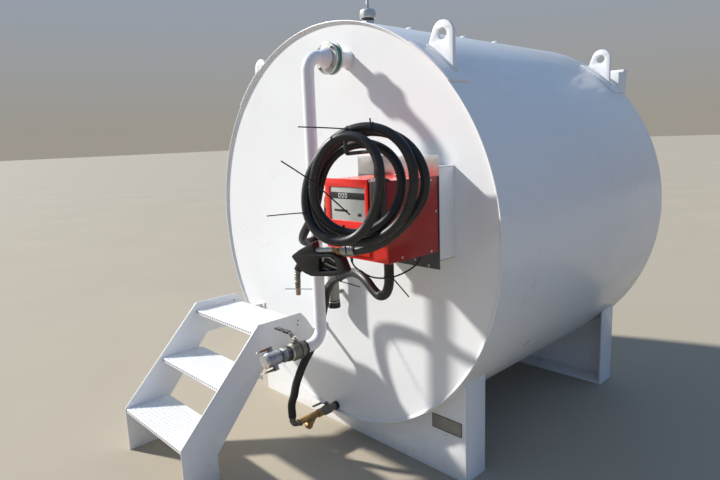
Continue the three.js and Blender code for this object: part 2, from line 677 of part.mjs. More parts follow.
function makeNozzle() {
  const body = outline([[-264, -6], [-221, 18], [-163, 40], [-145, 47], [-108, 26], [-46, 17], [-46, -14],
    [-24, -28], [-8, -82], [-45, -94], [-91, -97], [-178, -94], [-207, -81], [-222, -71], [-239, -43]]);
  const grip = new THREE.Path([[-137, -74], [-50, -76], [-60, -15], [-127, -12]]
    .map(([u, v]) => new THREE.Vector2(u, v)));
  body.holes.push(grip);
  const half = 22;
  const block = solid(place(alongY(body, -half, half)));
  const swivel = solid(place(turnedY([[0, 0], [17, 0], [17, 26], [14, 28], [14, 50], [0, 50]], 16)
    .rotateZ(Math.PI / 2)));
  add('nozzle_body', block.add(swivel), BLACK);
  const trigger = outline([[-129.9, -32], [-102, -32], [-67, -45], [-69, -33], [-100, -19], [-127.6, -18]]);
  add('nozzle_trigger', place(alongY(trigger, -6, 6)), STEEL);
  const ahead = V(-0.59, 0, -0.81).normalize();
  const down = V(-Math.sin(NOZZLE_TILT), 0, -Math.cos(NOZZLE_TILT));
  const turn = V(-258, 0, -80);
  const spout = [V(-218, 0, -25), ...bend(turn, ahead, down, 60, 5), turn.clone().addScaledVector(down, 96)];
  add('nozzle_spout', solid(place(tube(spout, 10.5, 14))).subtract(block), BRASS);
}

function makePowerCable() {
  const y = FRONT + PUMP_PLATE_Y;
  const run = smoothRun([
    [764, y - 80, PUMP_BOTTOM - GAP],
    [764, y - 80, PUMP_BOTTOM - 22],
    [761, y - 104, PUMP_BOTTOM - 45],
    [752, y - 138, PUMP_BOTTOM - 62],
    [738, y - 174, PUMP_BOTTOM - 75],
    [718, y - 206, PUMP_BOTTOM - 84],
    [690, y - 236, PUMP_BOTTOM - 86],
    [656, y - 262, PUMP_BOTTOM - 80],
    [620, y - 282, PUMP_BOTTOM - 60],
    [592, y - 293, PUMP_BOTTOM - 40],
    [580, y - 296, PUMP_BOTTOM - 18],
    [580, y - 296, PUMP_BOTTOM - GAP],
  ], 20);
  add('power_cable', tube(run, 3.5, 8), RUBBER);
}

makeTank();
makeSaddle('front_saddle', 0, 1);
makeSaddle('rear_saddle', TANK_LENGTH - 2 * SADDLE_SETBACK - SADDLE_DEPTH, -1);
['front', 'rear'].forEach((end) => {
  const y = end === 'front' ? FRONT + LUG_SETBACK : FRONT + TANK_LENGTH - LUG_SETBACK;
  makeLug(`lifting_lug_${end}_right`, 1, y);
  makeLug(`lifting_lug_${end}_left`, -1, y);
});
makeTop();
makeRearBox();
makeFillMoving(makeFillLine());
makeSuction(makeDrain());
makeDocumentTube();
makeSteps();
makePump();
makeHook();
makeDeliveryHose();
makeNozzle();
makePowerCable();

export default model;
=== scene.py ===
# %% [markdown]
# # Dressing a horizontal fuel tank
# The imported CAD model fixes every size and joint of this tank. The lesson adds what a camera sees:
# rounded edges, weld beads, bolts, a hose that lies in real turns, and paint, rubber and metal that
# have been used. Everything is built in code, so a size can be changed and the script run again.

# %% Load the frame
import math
import bmesh
import bpy
import numpy as np
from mathutils import Matrix, Vector
from mathutils.geometry import tessellate_polygon


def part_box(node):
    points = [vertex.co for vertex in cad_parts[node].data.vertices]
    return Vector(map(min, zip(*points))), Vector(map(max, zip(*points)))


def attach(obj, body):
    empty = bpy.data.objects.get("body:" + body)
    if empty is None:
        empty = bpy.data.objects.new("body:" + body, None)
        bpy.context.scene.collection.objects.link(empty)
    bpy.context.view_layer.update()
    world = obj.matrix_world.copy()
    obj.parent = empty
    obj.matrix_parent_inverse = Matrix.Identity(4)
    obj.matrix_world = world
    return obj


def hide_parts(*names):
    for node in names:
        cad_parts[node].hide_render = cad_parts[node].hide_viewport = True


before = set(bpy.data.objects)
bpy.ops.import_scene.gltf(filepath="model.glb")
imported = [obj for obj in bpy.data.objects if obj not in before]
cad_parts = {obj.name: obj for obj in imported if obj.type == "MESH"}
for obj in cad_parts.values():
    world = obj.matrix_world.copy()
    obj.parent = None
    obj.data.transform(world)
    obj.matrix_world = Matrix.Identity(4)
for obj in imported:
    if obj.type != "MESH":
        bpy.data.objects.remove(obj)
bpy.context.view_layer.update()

# %% [markdown]
# ## Driving sizes
# All shapes below are given in millimetres, as on the workshop drawing, and are scaled to metres once,
# when a piece is made. The main sizes are read from the frame, so the looks follow the CAD model.

# %% Driving sizes
MM = 0.001


def box_mm(node):
    low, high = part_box(node)
    return low / MM, high / MM


shell_low, shell_high = box_mm("tank_shell")
FRONT = shell_low.y
LENGTH = shell_high.y - shell_low.y
REAR = FRONT + LENGTH
RADIUS = (shell_high.x - shell_low.x) / 2
AXIS = (shell_low.z + shell_high.z) / 2
END_RECESS = box_mm("front_end_plate")[0].y - FRONT
X, Y, Z = Vector((1, 0, 0)), Vector((0, 1, 0)), Vector((0, 0, 1))
print(f"tank: radius {RADIUS:.0f}, length {LENGTH:.0f}, axis {AXIS:.0f} mm above the ground")

# %% [markdown]
# ## The camera
# A real camera is found from its picture: straight edges and circles of known size give its place, its
# turn and its focal length. Here those were worked out beforehand from both ends of the tank, so the
# camera is set by numbers. Its axes are built from yaw, pitch and roll, in that order, because that is
# how a person holds a camera: turn to face the tank, tip it down, and tilt the horizon a little.

# %% Camera
PHOTO_WIDTH = 720
FOCAL_PIXELS = 567.77
CAMERA_PLACE = Vector((2.270, -2.118, 1.641))
YAW, PITCH, ROLL = math.radians(46.24), math.radians(10.09), math.radians(-2.11)

ahead = Vector((-math.sin(YAW) * math.cos(PITCH), math.cos(YAW) * math.cos(PITCH), -math.sin(PITCH)))
level = Vector((math.cos(YAW), math.sin(YAW), 0))
upright = level.cross(ahead)
photo_right = math.cos(ROLL) * level + math.sin(ROLL) * upright
photo_up = math.cos(ROLL) * upright - math.sin(ROLL) * level

camera_data = bpy.data.cameras.new("camera")
camera_data.sensor_width = 36
camera_data.lens = FOCAL_PIXELS / PHOTO_WIDTH * camera_data.sensor_width
camera = bpy.data.objects.new("camera", camera_data)
camera.matrix_world = Matrix.Translation(CAMERA_PLACE) @ Matrix(
    (photo_right, photo_up, -ahead)).transposed().to_4x4()
bpy.context.scene.collection.objects.link(camera)
bpy.context.scene.camera = camera
print(f"camera: {camera_data.lens:.2f} mm lens, {CAMERA_PLACE.z:.2f} m above the ground")

# %% [markdown]
# ## Light
# The tank stands in daylight that comes from the upper left. A sun lamp gives every part of a big object
# the same strength, where an area light would fall off along its length. Its angle of 3 degrees softens
# the edges of the shadows, which run to the right and down, as they do on the end plate. The world fills
# the shaded side. One ramp goes from warm grey near the horizon, where pale ground throws light back, to
# blue overhead, and a second one makes the fill darker and bluer on the side away from the sun.

# %% Light
SUN_TRAVEL = Vector((0.745, 0.35, -0.566))
SUN_ANGLE = math.radians(3)
SUN_COLOUR = (1.0, 0.965, 0.91)
SUN_STRENGTH, SKY_STRENGTH = 6.3, 0.88
SKY = (0.30, 0.43, 0.63, 1)
HORIZON = (0.385, 0.355, 0.305, 1)
SHADE_SIDE = (0.49, 0.64, 0.90, 1)

sun_data = bpy.data.lights.new("key_light", "SUN")
sun_data.energy = SUN_STRENGTH
sun_data.angle = SUN_ANGLE
sun_data.color = SUN_COLOUR
sun = bpy.data.objects.new("key_light", sun_data)
sun.rotation_euler = SUN_TRAVEL.to_track_quat("-Z", "Y").to_euler()
bpy.context.scene.collection.objects.link(sun)

world = bpy.data.worlds.new("studio")
bpy.context.scene.world = world
world.use_nodes = True
world_nodes, world_links = world.node_tree.nodes, world.node_tree.links
heading = world_nodes.new("ShaderNodeSeparateXYZ")
world_links.new(world_nodes.new("ShaderNodeTexCoord").outputs["Generated"], heading.inputs[0])


def world_ramp(axis, stops):
    """A colour ramp along one axis of the direction in which the world is seen."""
    ramp = world_nodes.new("ShaderNodeValToRGB")
    for element, (position, colour) in zip(ramp.color_ramp.elements, stops):
        element.position, element.color = position, colour
    world_links.new(heading.outputs[axis], ramp.inputs[0])
    return ramp.outputs["Color"]


sky = world_ramp("Z", ((0.02, HORIZON), (0.45, SKY)))
shade = world_ramp("X", ((0.1, (1, 1, 1, 1)), (0.9, SHADE_SIDE)))
fill = world_nodes.new("ShaderNodeVectorMath")
fill.operation = "MULTIPLY"
world_links.new(sky, fill.inputs[0])
world_links.new(shade, fill.inputs[1])
world_links.new(fill.outputs[0], world_nodes["Background"].inputs["Color"])
world_nodes["Background"].inputs["Strength"].default_value = SKY_STRENGTH
bpy.context.scene.view_settings.view_transform = "Standard"
print("light from the upper left, and a pale sky")

# %% [markdown]
# ## A shader with few words
# Every finish is a Principled shader with the same kind of nodes round it: noise for patches of colour,
# finer noise for grain, and a bump. A small class keeps each finish down to a few lines, and it always
# reads Object coordinates, so a pattern stays on the piece in every view and at every pose.

# %% Shader helper
NOISE_ROUGHNESS = 0.55


class Finish:
    """A Principled material and the short ways to add nodes to it."""

    def __init__(self, name, colour, rough, metal=0.0):
        self.material = bpy.data.materials.new(name)
        self.material.use_nodes = True
        self.material.diffuse_color = (*colour, 1)
        self.tree = self.material.node_tree
        self.main = self.tree.nodes["Principled BSDF"]
        self.colour = (*colour, 1)
        self.set(**{"Base Color": self.colour, "Roughness": rough, "Metallic": metal})
        self.where = self.tree.nodes.new("ShaderNodeTexCoord").outputs["Object"]
        self.normal = None

    def set(self, **inputs):
        for name, value in inputs.items():
            self.feed(self.main.inputs[name], value)
        return self

    def feed(self, socket, value):
        if isinstance(value, bpy.types.NodeSocket):
            self.tree.links.new(value, socket)
        else:
            socket.default_value = value

    def node(self, kind, inputs, **settings):
        made = self.tree.nodes.new(kind)
        for name, value in settings.items():
            setattr(made, name, value)
        for name, value in inputs.items():
            self.feed(made.inputs[name], value)
        return made

    def noise(self, scale, detail=4.0):
        return self.node("ShaderNodeTexNoise", {"Vector": self.where, "Scale": scale, "Detail": detail,
                                                "Roughness": NOISE_ROUGHNESS}).outputs["Fac"]

    def ramp(self, value, low, high, to_low=0.0, to_high=1.0):
        return self.node("ShaderNodeMapRange", {"Value": value, "From Min": low, "From Max": high,
                                                "To Min": to_low, "To Max": to_high}).outputs["Result"]

    def blend(self, amount, first, second):
        made = self.node("ShaderNodeMix", {}, data_type="RGBA")
        for socket, value in zip((made.inputs[0], made.inputs[6], made.inputs[7]), (amount, first, second)):
            self.feed(socket, value)
        return made.outputs[2]

    def maths(self, operation, first, second):
        made = self.node("ShaderNodeMath", {}, operation=operation)
        self.feed(made.inputs[0], first)
        self.feed(made.inputs[1], second)
        return made.outputs[0]

    def patches(self, spread, scale):
        """Soft patches of a darker and a lighter tone of the colour."""
        dark = [c * (1 - spread) for c in self.colour[:3]] + [1]
        light = [min(1, c * (1 + spread)) for c in self.colour[:3]] + [1]
        self.tone = self.blend(self.ramp(self.noise(scale), 0.3, 0.7), dark, light)
        return self.set(**{"Base Color": self.tone})

    def uneven(self, low, high, scale):
        return self.set(Roughness=self.ramp(self.noise(scale, 6), 0.3, 0.7, low, high))

    def bump(self, height, depth, strength=1.0):
        inputs = {"Height": height, "Distance": depth, "Strength": strength}
        if self.normal:
            inputs["Normal"] = self.normal
        self.normal = self.node("ShaderNodeBump", inputs).outputs["Normal"]
        return self.set(Normal=self.normal)

    def grain(self, scale, depth, strength, detail=4):
        """A fine bump from one noise."""
        return self.bump(self.noise(scale, detail), depth, strength)

    def over(self, mask, colour):
        """A second colour laid over the first where the mask says."""
        self.tone = self.blend(mask, self.tone, (*colour, 1))
        return self.set(**{"Base Color": self.tone})

    def facing_up(self):
        normal = self.node("ShaderNodeNewGeometry", {}).outputs["Normal"]
        return self.ramp(self.node("ShaderNodeSeparateXYZ", {"Vector": normal}).outputs["Z"], 0.35, 0.95)

    def height(self, low, high):
        """1 at the low height and 0 at the high one, in metres."""
        return self.ramp(self.node("ShaderNodeSeparateXYZ", {"Vector": self.where}).outputs["Z"],
                         low, high, 1.0, 0.0)


print("shader helper ready")

# %% [markdown]
# ## Outlines with soft corners
# No real edge is sharp: sheet metal is folded or ground, and castings have fillets. The cheapest way to
# show that is to soften the outline before it becomes a solid. A corner is replaced by a short curve that
# starts and ends on its two sides, and the curve never takes more than half of either side.


# %% Outline helpers
def rounded(corners, radius, closed=True, steps=3):
    """The outline with each corner replaced by a short arc."""
    count = len(corners)
    result = []
    for i, corner in enumerate(corners):
        here = Vector(corner)
        if not closed and i in (0, count - 1):
            result.append(here)
            continue
        back, on = Vector(corners[i - 1]) - here, Vector(corners[(i + 1) % count]) - here
        angle = back.angle(on, math.pi)
        if angle > math.radians(172):
            result.append(here)
            continue
        cut = min(radius / math.tan(angle / 2), 0.49 * back.length, 0.49 * on.length)
        start, end = here + back.normalized() * cut, here + on.normalized() * cut
        for k in range(steps + 1):
            t = k / steps
            result.append(start * (1 - t) ** 2 + here * (2 * t * (1 - t)) + end * t ** 2)
    return result


def rectangle(low, high, radius):
    """A rectangle between two corners, with its corners rounded."""
    return rounded([(low[0], low[1]), (high[0], low[1]), (high[0], high[1]), (low[0], high[1])], radius)


def arc(centre, radius, start, end, steps=12):
    """Points on a circle from one angle to another, in degrees."""
    angles = [math.radians(start + (end - start) * k / steps) for k in range(steps + 1)]
    return [(centre[0] + radius * math.cos(a), centre[1] + radius * math.sin(a)) for a in angles]


def circle(centre, radius, steps=24):
    return arc(centre, radius, 0, 360, steps)[:-1]


def area(loop):
    return sum(p[0] * q[1] - q[0] * p[1] for p, q in zip(loop, loop[1:] + loop[:1])) / 2


def inset(loop, distance):
    """The loop moved sideways by a distance, to its left."""
    moved = []
    for i, point in enumerate(loop):
        here = Vector(point)
        before = (here - Vector(loop[i - 1])).normalized()
        after = (Vector(loop[(i + 1) % len(loop)]) - here).normalized()
        side = Vector((-before.y - after.y, before.x + after.x)).normalized()
        share = max(0.4, side.dot(Vector((-before.y, before.x))))
        moved.append(here + side * (distance / share))
    return moved


# %% [markdown]
# ## Forms
# A form collects simple shapes in millimetres: turned bodies, plates cut from an outline, and tubes along
# a path. One form becomes one piece, and each shape in it may have a finish of its own. Building the
# vertices directly keeps every shape clean and closed, with no modifier left to apply.

# %% Forms
def axes(x, y, z, at=(0, 0, 0)):
    """The matrix that lays the local axes along the given directions."""
    turn = Matrix((x, y, z)).transposed().to_4x4()
    return Matrix.Translation(Vector(at)) @ turn


def upright_front(at=(0, 0, 0)):
    """Local X and Y become width and height, and local Z goes back from the front."""
    return axes(X, Z, Y, at)


def upright_side(at=(0, 0, 0)):
    """Local X and Y become length and height, and local Z goes to the right."""
    return axes(Y, Z, X, at)


def toward(direction, at=(0, 0, 0)):
    """Local Z becomes the direction."""
    turn = Vector(direction).to_track_quat("Z", "Y").to_matrix().to_4x4()
    return Matrix.Translation(Vector(at)) @ turn


class Form:
    def __init__(self):
        self.points, self.faces, self.marks = [], [], []

    def add(self, points, faces, place=None, mark=0):
        start = len(self.points)
        self.points += [place @ Vector(p) if place else Vector(p) for p in points]
        self.faces += [tuple(start + i for i in face) for face in faces]
        self.marks += [mark] * len(faces)
        return self

    def loft(self, rows, place=None, mark=0, ring=False):
        """Quads between closed rows of points. A ring joins the last row to the first, or both get caps."""
        n = len(rows[0])
        pairs = [(r, r + 1) for r in range(len(rows) - 1)] + ([(len(rows) - 1, 0)] if ring else [])
        faces = [(a * n + i, a * n + (i + 1) % n, b * n + (i + 1) % n, b * n + i)
                 for a, b in pairs for i in range(n)]
        if not ring:
            faces += [tuple(range(n - 1, -1, -1)), tuple(range((len(rows) - 1) * n, len(rows) * n))]
        return self.add([p for row in rows for p in row], faces, place, mark)

    def turned(self, profile, place=None, mark=0, sides=48, soft=1.0):
        """A body turned about local Z from pairs of radius and distance."""
        ring = profile[0][0] > 0 and profile[-1] == profile[0]
        points = [Vector(p) for p in (profile[:-1] if ring else profile)]
        if soft:
            points = rounded(points, soft, closed=ring)
        angles = [2 * math.pi * i / sides for i in range(sides)]
        rows = [[(p.x * math.cos(a), p.x * math.sin(a), p.y) for a in angles] for p in points if p.x > 0]
        return self.loft(rows, place, mark, ring=ring)

    def disc(self, radius, low, high, place=None, mark=0, sides=48, soft=1.0):
        """A round bar between two distances along local Z."""
        return self.turned([(0, low), (radius, low), (radius, high), (0, high)], place, mark, sides, soft)

    def collar(self, inner, outer, low, high, place=None, mark=0, sides=48, soft=1.0, slope=0):
        """A ring about local Z between two radii and two distances, with its flanks sloped if wanted."""
        profile = [(inner, low), (outer, low + slope), (outer, high - slope), (inner, high), (inner, low)]
        return self.turned(profile, place, mark, sides, soft)

    def prism(self, across, low, high, place=None, mark=0, sides=6, soft=1.0):
        """A bar with flat sides, given by its width across the flats."""
        reach = across / 2 / math.cos(math.pi / sides)
        return self.disc(reach, low, high, place, mark, sides, soft)

    def plate(self, outline, depth, place=None, mark=0, holes=(), edge=1.0):
        """A plate cut from an outline with holes, with its edges rounded."""
        loops = [list(outline) if area(outline) > 0 else list(outline)[::-1]]
        loops += [list(h) if area(h) < 0 else list(h)[::-1] for h in holes]
        turns = [math.radians(a) for a in ((0, 45, 90) if edge else (0,))]
        rise = [(edge * (1 - math.sin(t)), edge * (1 - math.cos(t))) for t in turns]
        levels = rise + [(i, depth - z) for i, z in rise[::-1]]
        points, faces, ends = [], [], ([], [])
        for loop in loops:
            start, n = len(points), len(loop)
            for step, z in levels:
                points += [(p.x, p.y, z) for p in inset(loop, step)]
            for r in range(len(levels) - 1):
                faces += [(start + r * n + i, start + r * n + (i + 1) % n,
                           start + (r + 1) * n + (i + 1) % n, start + (r + 1) * n + i) for i in range(n)]
            ends[0].extend(range(start, start + n))
            ends[1].extend(range(start + (len(levels) - 1) * n, start + len(levels) * n))
        flat = [[Vector((p.x, p.y, 0)) for p in inset(loop, levels[0][0])] for loop in loops]
        for triangle in tessellate_polygon(flat):
            faces.append(tuple(ends[0][i] for i in triangle))
            faces.append(tuple(ends[1][i] for i in triangle[::-1]))
        return self.add(points, faces, place, mark)

    def block(self, low, high, place=None, mark=0, edge=1.0):
        """A block between two corners with rounded edges."""
        soft = rectangle(low, high, edge or 0.01)
        place = (place or Matrix.Identity(4)) @ Matrix.Translation((0, 0, low[2]))
        return self.plate(soft, high[2] - low[2], place, mark, edge=edge)

    def tube(self, path, radius, place=None, mark=0, sides=16, closed=False, flat=1.0):
        """A round bar along a path. The radius may be one number or one for each point."""
        path = [Vector(p) for p in path]
        count = len(path)
        radii = [radius] * count if isinstance(radius, (int, float)) else radius
        side = None
        rows = []
        for i, here in enumerate(path):
            back = path[i - 1] if closed or i else here
            on = path[(i + 1) % count] if closed or i < count - 1 else here
            along = (on - back).normalized()
            if side is None:
                side = along.orthogonal().normalized()
            side = (side - along * side.dot(along)).normalized()
            other = along.cross(side)
            rows.append([here + radii[i] * (side * math.cos(a) + other * flat * math.sin(a))
                         for a in (2 * math.pi * k / sides for k in range(sides))])
        return self.loft(rows, place, mark, ring=closed)

    def bead(self, path, radius, closed=False, pitch=9.0):
        """A weld bead: a thin rope of metal with the ripples that the welder's hand leaves."""
        path = even([Vector(p) for p in path], pitch / 3, closed)
        radii = [radius * (1 + 0.22 * math.sin(2 * math.pi * i / 3 + 0.7)) for i in range(len(path))]
        return self.tube(path, radii, sides=7, closed=closed)


def even(path, spacing, closed=False):
    """The same path with points at even spacing."""
    points = np.array([tuple(p) for p in path] + ([tuple(path[0])] if closed else []))
    run = np.concatenate([[0], np.cumsum(np.linalg.norm(np.diff(points, axis=0), axis=1))])
    count = max(2, int(round(run[-1] / spacing)))
    stops = np.linspace(0, run[-1], count + 1)[:-1 if closed else None]
    return [Vector([np.interp(s, run, points[:, k]) for k in range(3)]) for s in stops]


def smooth_run(points, spacing):
    """A smooth curve through given points, with points at even spacing."""
    points = [Vector(p) for p in points]
    ends = [points[0] * 2 - points[1]] + points + [points[-1] * 2 - points[-2]]
    fine = []
    for a, b, c, d in zip(ends, ends[1:], ends[2:], ends[3:]):
        for k in range(12):
            t = k / 12
            fine.append(0.5 * (2 * b + (c - a) * t + (2 * a - 5 * b + 4 * c - d) * t ** 2
                               + (3 * b - a - 3 * c + d) * t ** 3))
    return even(fine + [points[-1]], spacing)


# %% From a form to a piece
SHARP_ANGLE = math.radians(40)


def piece(name, form, finishes, replaces=(), body="tank"):
    """Makes the object in metres, gives it its finishes and says which body carries it."""
    mesh = bpy.data.meshes.new(name)
    mesh.from_pydata([p * MM for p in form.points], [], form.faces)
    for made in finishes:
        mesh.materials.append(made.material)
    mesh.polygons.foreach_set("material_index", form.marks)
    shape = bmesh.new()
    shape.from_mesh(mesh)
    bmesh.ops.recalc_face_normals(shape, faces=shape.faces)
    shape.to_mesh(mesh)
    shape.free()
    mesh.shade_smooth()
    mesh.set_sharp_from_angle(angle=SHARP_ANGLE)
    made = bpy.data.objects.new(name, mesh)
    bpy.context.scene.collection.objects.link(made)
    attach(made, body)
    if replaces:
        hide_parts(*([replaces] if isinstance(replaces, str) else replaces))
    print(f"{name}: {len(form.faces)} faces on the body {body}")
    return made


print("form helpers ready")

# %% [markdown]
# ## White enamel
# The tank, saddles, steps and pipes are sprayed with white gloss enamel. It isn't one white: the film
# is thicker in places, road dust settles on what faces up, and the lowest plates are splashed. The gloss
# is a thin clear coat over a rougher base, and two bumps give the orange peel of the spray and the slow
# waves of rolled plate.

# %% White enamel
white = Finish("white_enamel", (0.80, 0.81, 0.82), 0.34).patches(0.018, 1.6)
dust = white.maths("MULTIPLY", white.facing_up(), white.ramp(white.noise(9, 8), 0.42, 0.75, 0.0, 0.22))
white.over(dust, (0.55, 0.50, 0.42))
low_down = white.height(0.0, 0.34)
splash = white.maths("MULTIPLY", low_down, white.ramp(white.noise(24, 9), 0.5, 0.76, 0.0, 0.22))
white.over(splash, (0.45, 0.38, 0.29))
white.uneven(0.26, 0.42, 5)
white.set(**{"Coat Weight": 0.35, "Coat Roughness": 0.12})
white.grain(1.1, 0.004, 0.35, 2).grain(420, 0.00012, 0.5, 2)
print("white enamel ready")

# %% [markdown]
# ## Black rubber and cable
# The delivery hose has a smooth cover with a soft shine. Rubber picks up a grey bloom where it is
# handled, so the colour runs from black to charcoal in long patches, and a fine grain breaks the shine.

# %% Rubber
rubber = Finish("hose_rubber", (0.009, 0.009, 0.0095), 0.42).patches(0.35, 7)
rubber.over(rubber.ramp(rubber.noise(30, 8), 0.55, 0.8, 0.0, 0.3), (0.045, 0.044, 0.041))
rubber.uneven(0.36, 0.52, 22).grain(900, 0.0002, 0.4, 2)
print("rubber ready")

# %% [markdown]
# ## The delivery hose
# About five metres of 35 mm hose hang on a hook in four rough turns. A helix would look machine made.
# Instead, each turn is given by where it is furthest left, highest, furthest right and lowest, quarter
# ellipses join those places, and then the hose is left to settle: in each round every point moves towards
# the middle of its neighbours, because a hose resists bending, and points that lie closer than a diameter
# push each other apart, because hoses can't share a space.

# %% Hose route
HOSE_DIAMETER = 35
COIL_TURN = math.radians(25)
COIL_ALONG = Vector((math.cos(COIL_TURN), math.sin(COIL_TURN), 0))
COIL_OUT = Vector((math.sin(COIL_TURN), -math.cos(COIL_TURN), 0))
COIL_CENTRE_ALONG = 515
COIL_CENTRE_HEIGHT = 1473
OUTLET_MOUTH = Vector((329, FRONT - 296, 1339.7))
NOZZLE_TURN, NOZZLE_TILT = math.radians(18.4), math.radians(6)
NOZZLE_HEEL = Vector((644, FRONT - 470, 1206))
nozzle_axis = Vector((math.cos(NOZZLE_TURN) * math.cos(NOZZLE_TILT),
                      math.sin(NOZZLE_TURN) * math.cos(NOZZLE_TILT), math.sin(NOZZLE_TILT)))

# Left, top, right and bottom of each turn: to the right of the coil's centre, above it, and out
TURNS = [
    (-210, -9, 768), (-24, 160, 768), (132, 12, 778), (-43, -182, 835),
    (-188, -39, 886), (-40, 192, 893), (92, 76, 907), (-70, -203, 905),
    (-222, -79, 878), (24, 217, 848), (192, 28, 840), (-60, -215, 818),
    (-232, -46, 806), (29, 201, 803), (222, 0, 788),
]
LEAD_STEPS = [
    (0, 0, 0), (0, 0, -40), (0, -11, -78), (2, -40, -112), (7, -80, -134), (17, -126, -142),
    (35, -170, -136), (63, -208, -118), (99, -236, -92), (141, -254, -62), (185, -264, -30),
    (223, -269, 6), (251, -271, 46), (268, -271, 90),
]
TAIL_STOPS = [(210, -52, 784), (160, -110, 776), (112, -164, 770), (52, -212, 762), (-16, -246, 738)]
QUARTER_STEPS = 12

# The hose is eased strongly in the early rounds and gently in the rest, so the strands keep apart
ROUNDS, EARLY_ROUNDS = 60, 14
EARLY_EASE, LATE_EASE = 0.25, 0.02
HELD_POINTS, NEAR_POINTS = 4, 12


def coil_point(along, above, out):
    across = COIL_ALONG * (COIL_CENTRE_ALONG + along) + COIL_OUT * out
    return Vector((across.x, FRONT + across.y, COIL_CENTRE_HEIGHT + above))


def quarter(start, end, upright_first):
    """A quarter ellipse from one extreme of a turn to the next."""
    lead, lag = (1, 0) if upright_first else (0, 1)
    points = []
    for k in range(QUARTER_STEPS):
        t = k / QUARTER_STEPS
        turn = math.pi / 2 * t
        p = list(start)
        p[lead] += (end[lead] - start[lead]) * math.sin(turn)
        p[lag] += (end[lag] - start[lag]) * (1 - math.cos(turn))
        p[2] += (end[2] - start[2]) * t * t * (3 - 2 * t)
        points.append(coil_point(*p))
    return points


def settle(points, gap):
    """Lets a rough route relax: neighbours straighten it, and strands that touch move apart."""
    p = np.array([tuple(q) for q in points])
    index = np.arange(len(p))
    strangers = np.triu(np.abs(index[:, None] - index[None, :]) > NEAR_POINTS)
    held = HELD_POINTS
    for turn in range(ROUNDS):
        ease = EARLY_EASE if turn < EARLY_ROUNDS else LATE_EASE
        p[held:-held] += ease * (p[held - 1:-held - 1] - 2 * p[held:-held]
                                 + p[held + 1:len(p) - held + 1])
        away = p[:, None] - p[None]
        far = np.linalg.norm(away, axis=2)
        for i, j in zip(*np.where(strangers & (far < gap))):
            push = away[i, j] / max(far[i, j], 1e-6) * (gap - far[i, j]) * 0.25
            if held < i < len(p) - held:
                p[i] += push
            if held < j < len(p) - held:
                p[j] -= push
    return [Vector(q) for q in p]


rough = [OUTLET_MOUTH + Vector(step) for step in LEAD_STEPS]
for number, (start, end) in enumerate(zip(TURNS, TURNS[1:])):
    rough += quarter(start, end, number % 2 == 0)
rough.append(coil_point(*TURNS[-1]))
rough += [coil_point(*stop) for stop in TAIL_STOPS]
rough += [NOZZLE_HEEL + nozzle_axis * 50, NOZZLE_HEEL + nozzle_axis * 0.3]
hose_path = smooth_run(settle(smooth_run(rough, 20), HOSE_DIAMETER + 1), 8)

# %% Delivery hose
hose = piece("delivery_hose", Form().tube(hose_path, HOSE_DIAMETER / 2, sides=20), [rubber],
             ["delivery_hose_coil", "delivery_hose_lead", "delivery_hose_tail"])

# %% [markdown]
# ## The power cable
# A thin black cable leaves the underside of the cabinet, sags in one loop and goes back in beside the
# pump. Its points are listed and joined by a smooth curve.

# %% Power cable
CABLE_DIAMETER = 7
PLATE_Y = box_mm("pump_back_plate")[0].y
CABINET_BOTTOM = box_mm("pump_cabinet")[0].z
CABLE_STOPS = [
    (764, -80, -0.3), (764, -80, -22), (761, -104, -45), (752, -138, -62), (738, -174, -75),
    (718, -206, -84), (690, -236, -86), (656, -262, -80), (620, -282, -60), (592, -293, -40),
    (580, -296, -18), (580, -296, -0.3),
]
cable_path = smooth_run([(x, PLATE_Y + y, CABINET_BOTTOM + z) for x, y, z in CABLE_STOPS], 6)
cable = piece("power_cable_run", Form().tube(cable_path, CABLE_DIAMETER / 2, sides=12), [rubber],
              "power_cable")

# %% [markdown]
# ## Shell and end plates
# The shell is one long rolled plate, open at both ends. Each end plate is let in a little way and welded
# round its edge, which leaves a thin proud rim. A turned ring with softened corners gives that rim its
# bright line of light, and 192 sides keep the big circle smooth in profile.

# %% Shell and end plates
SHELL_THICKNESS = 6
SHELL_SIDES = 192
inner = RADIUS - SHELL_THICKNESS
end_outline = circle((0, AXIS), inner - 3, SHELL_SIDES)
shell = Form()
shell.collar(inner, RADIUS, 0, LENGTH, toward(Y, (0, FRONT, AXIS)), sides=SHELL_SIDES, soft=2.2)
for y in (FRONT + END_RECESS - 2, REAR - END_RECESS + 2):
    shell.bead([(x, y, z) for x, z in end_outline], 4.5, closed=True, pitch=12)
piece("tank_shell_rolled", shell, [white], "tank_shell")

for end in ("front_end_plate", "rear_end_plate"):
    low, high = box_mm(end)
    disc = Form().disc(inner - 0.4, 0, high.y - low.y, toward(Y, (0, low.y, AXIS)), 0, SHELL_SIDES, 0)
    piece(end.replace("_plate", "_disc"), disc, [white], end)

# %% [markdown]
# ## Saddles
# Each saddle is a web of 10 mm plate cut to the shell's curve, with a side plate at each end and a base
# flange. The web faces outwards, so the open side with its shadow is seen under the tank. The weld between
# web and shell is a bead along the same arc.

# %% Saddles
SADDLE_PLATE = 10
SADDLE_BASE = 12
CRADLE_RADIUS = RADIUS + 0.4
WEB_HOLES = (circle((695, 208.5), 4.5, 20), circle((692.4, 188.5), 3, 16))


def shell_height(x):
    """Height of the underside of the shell at a distance from its middle."""
    return AXIS - math.sqrt(CRADLE_RADIUS ** 2 - x ** 2)


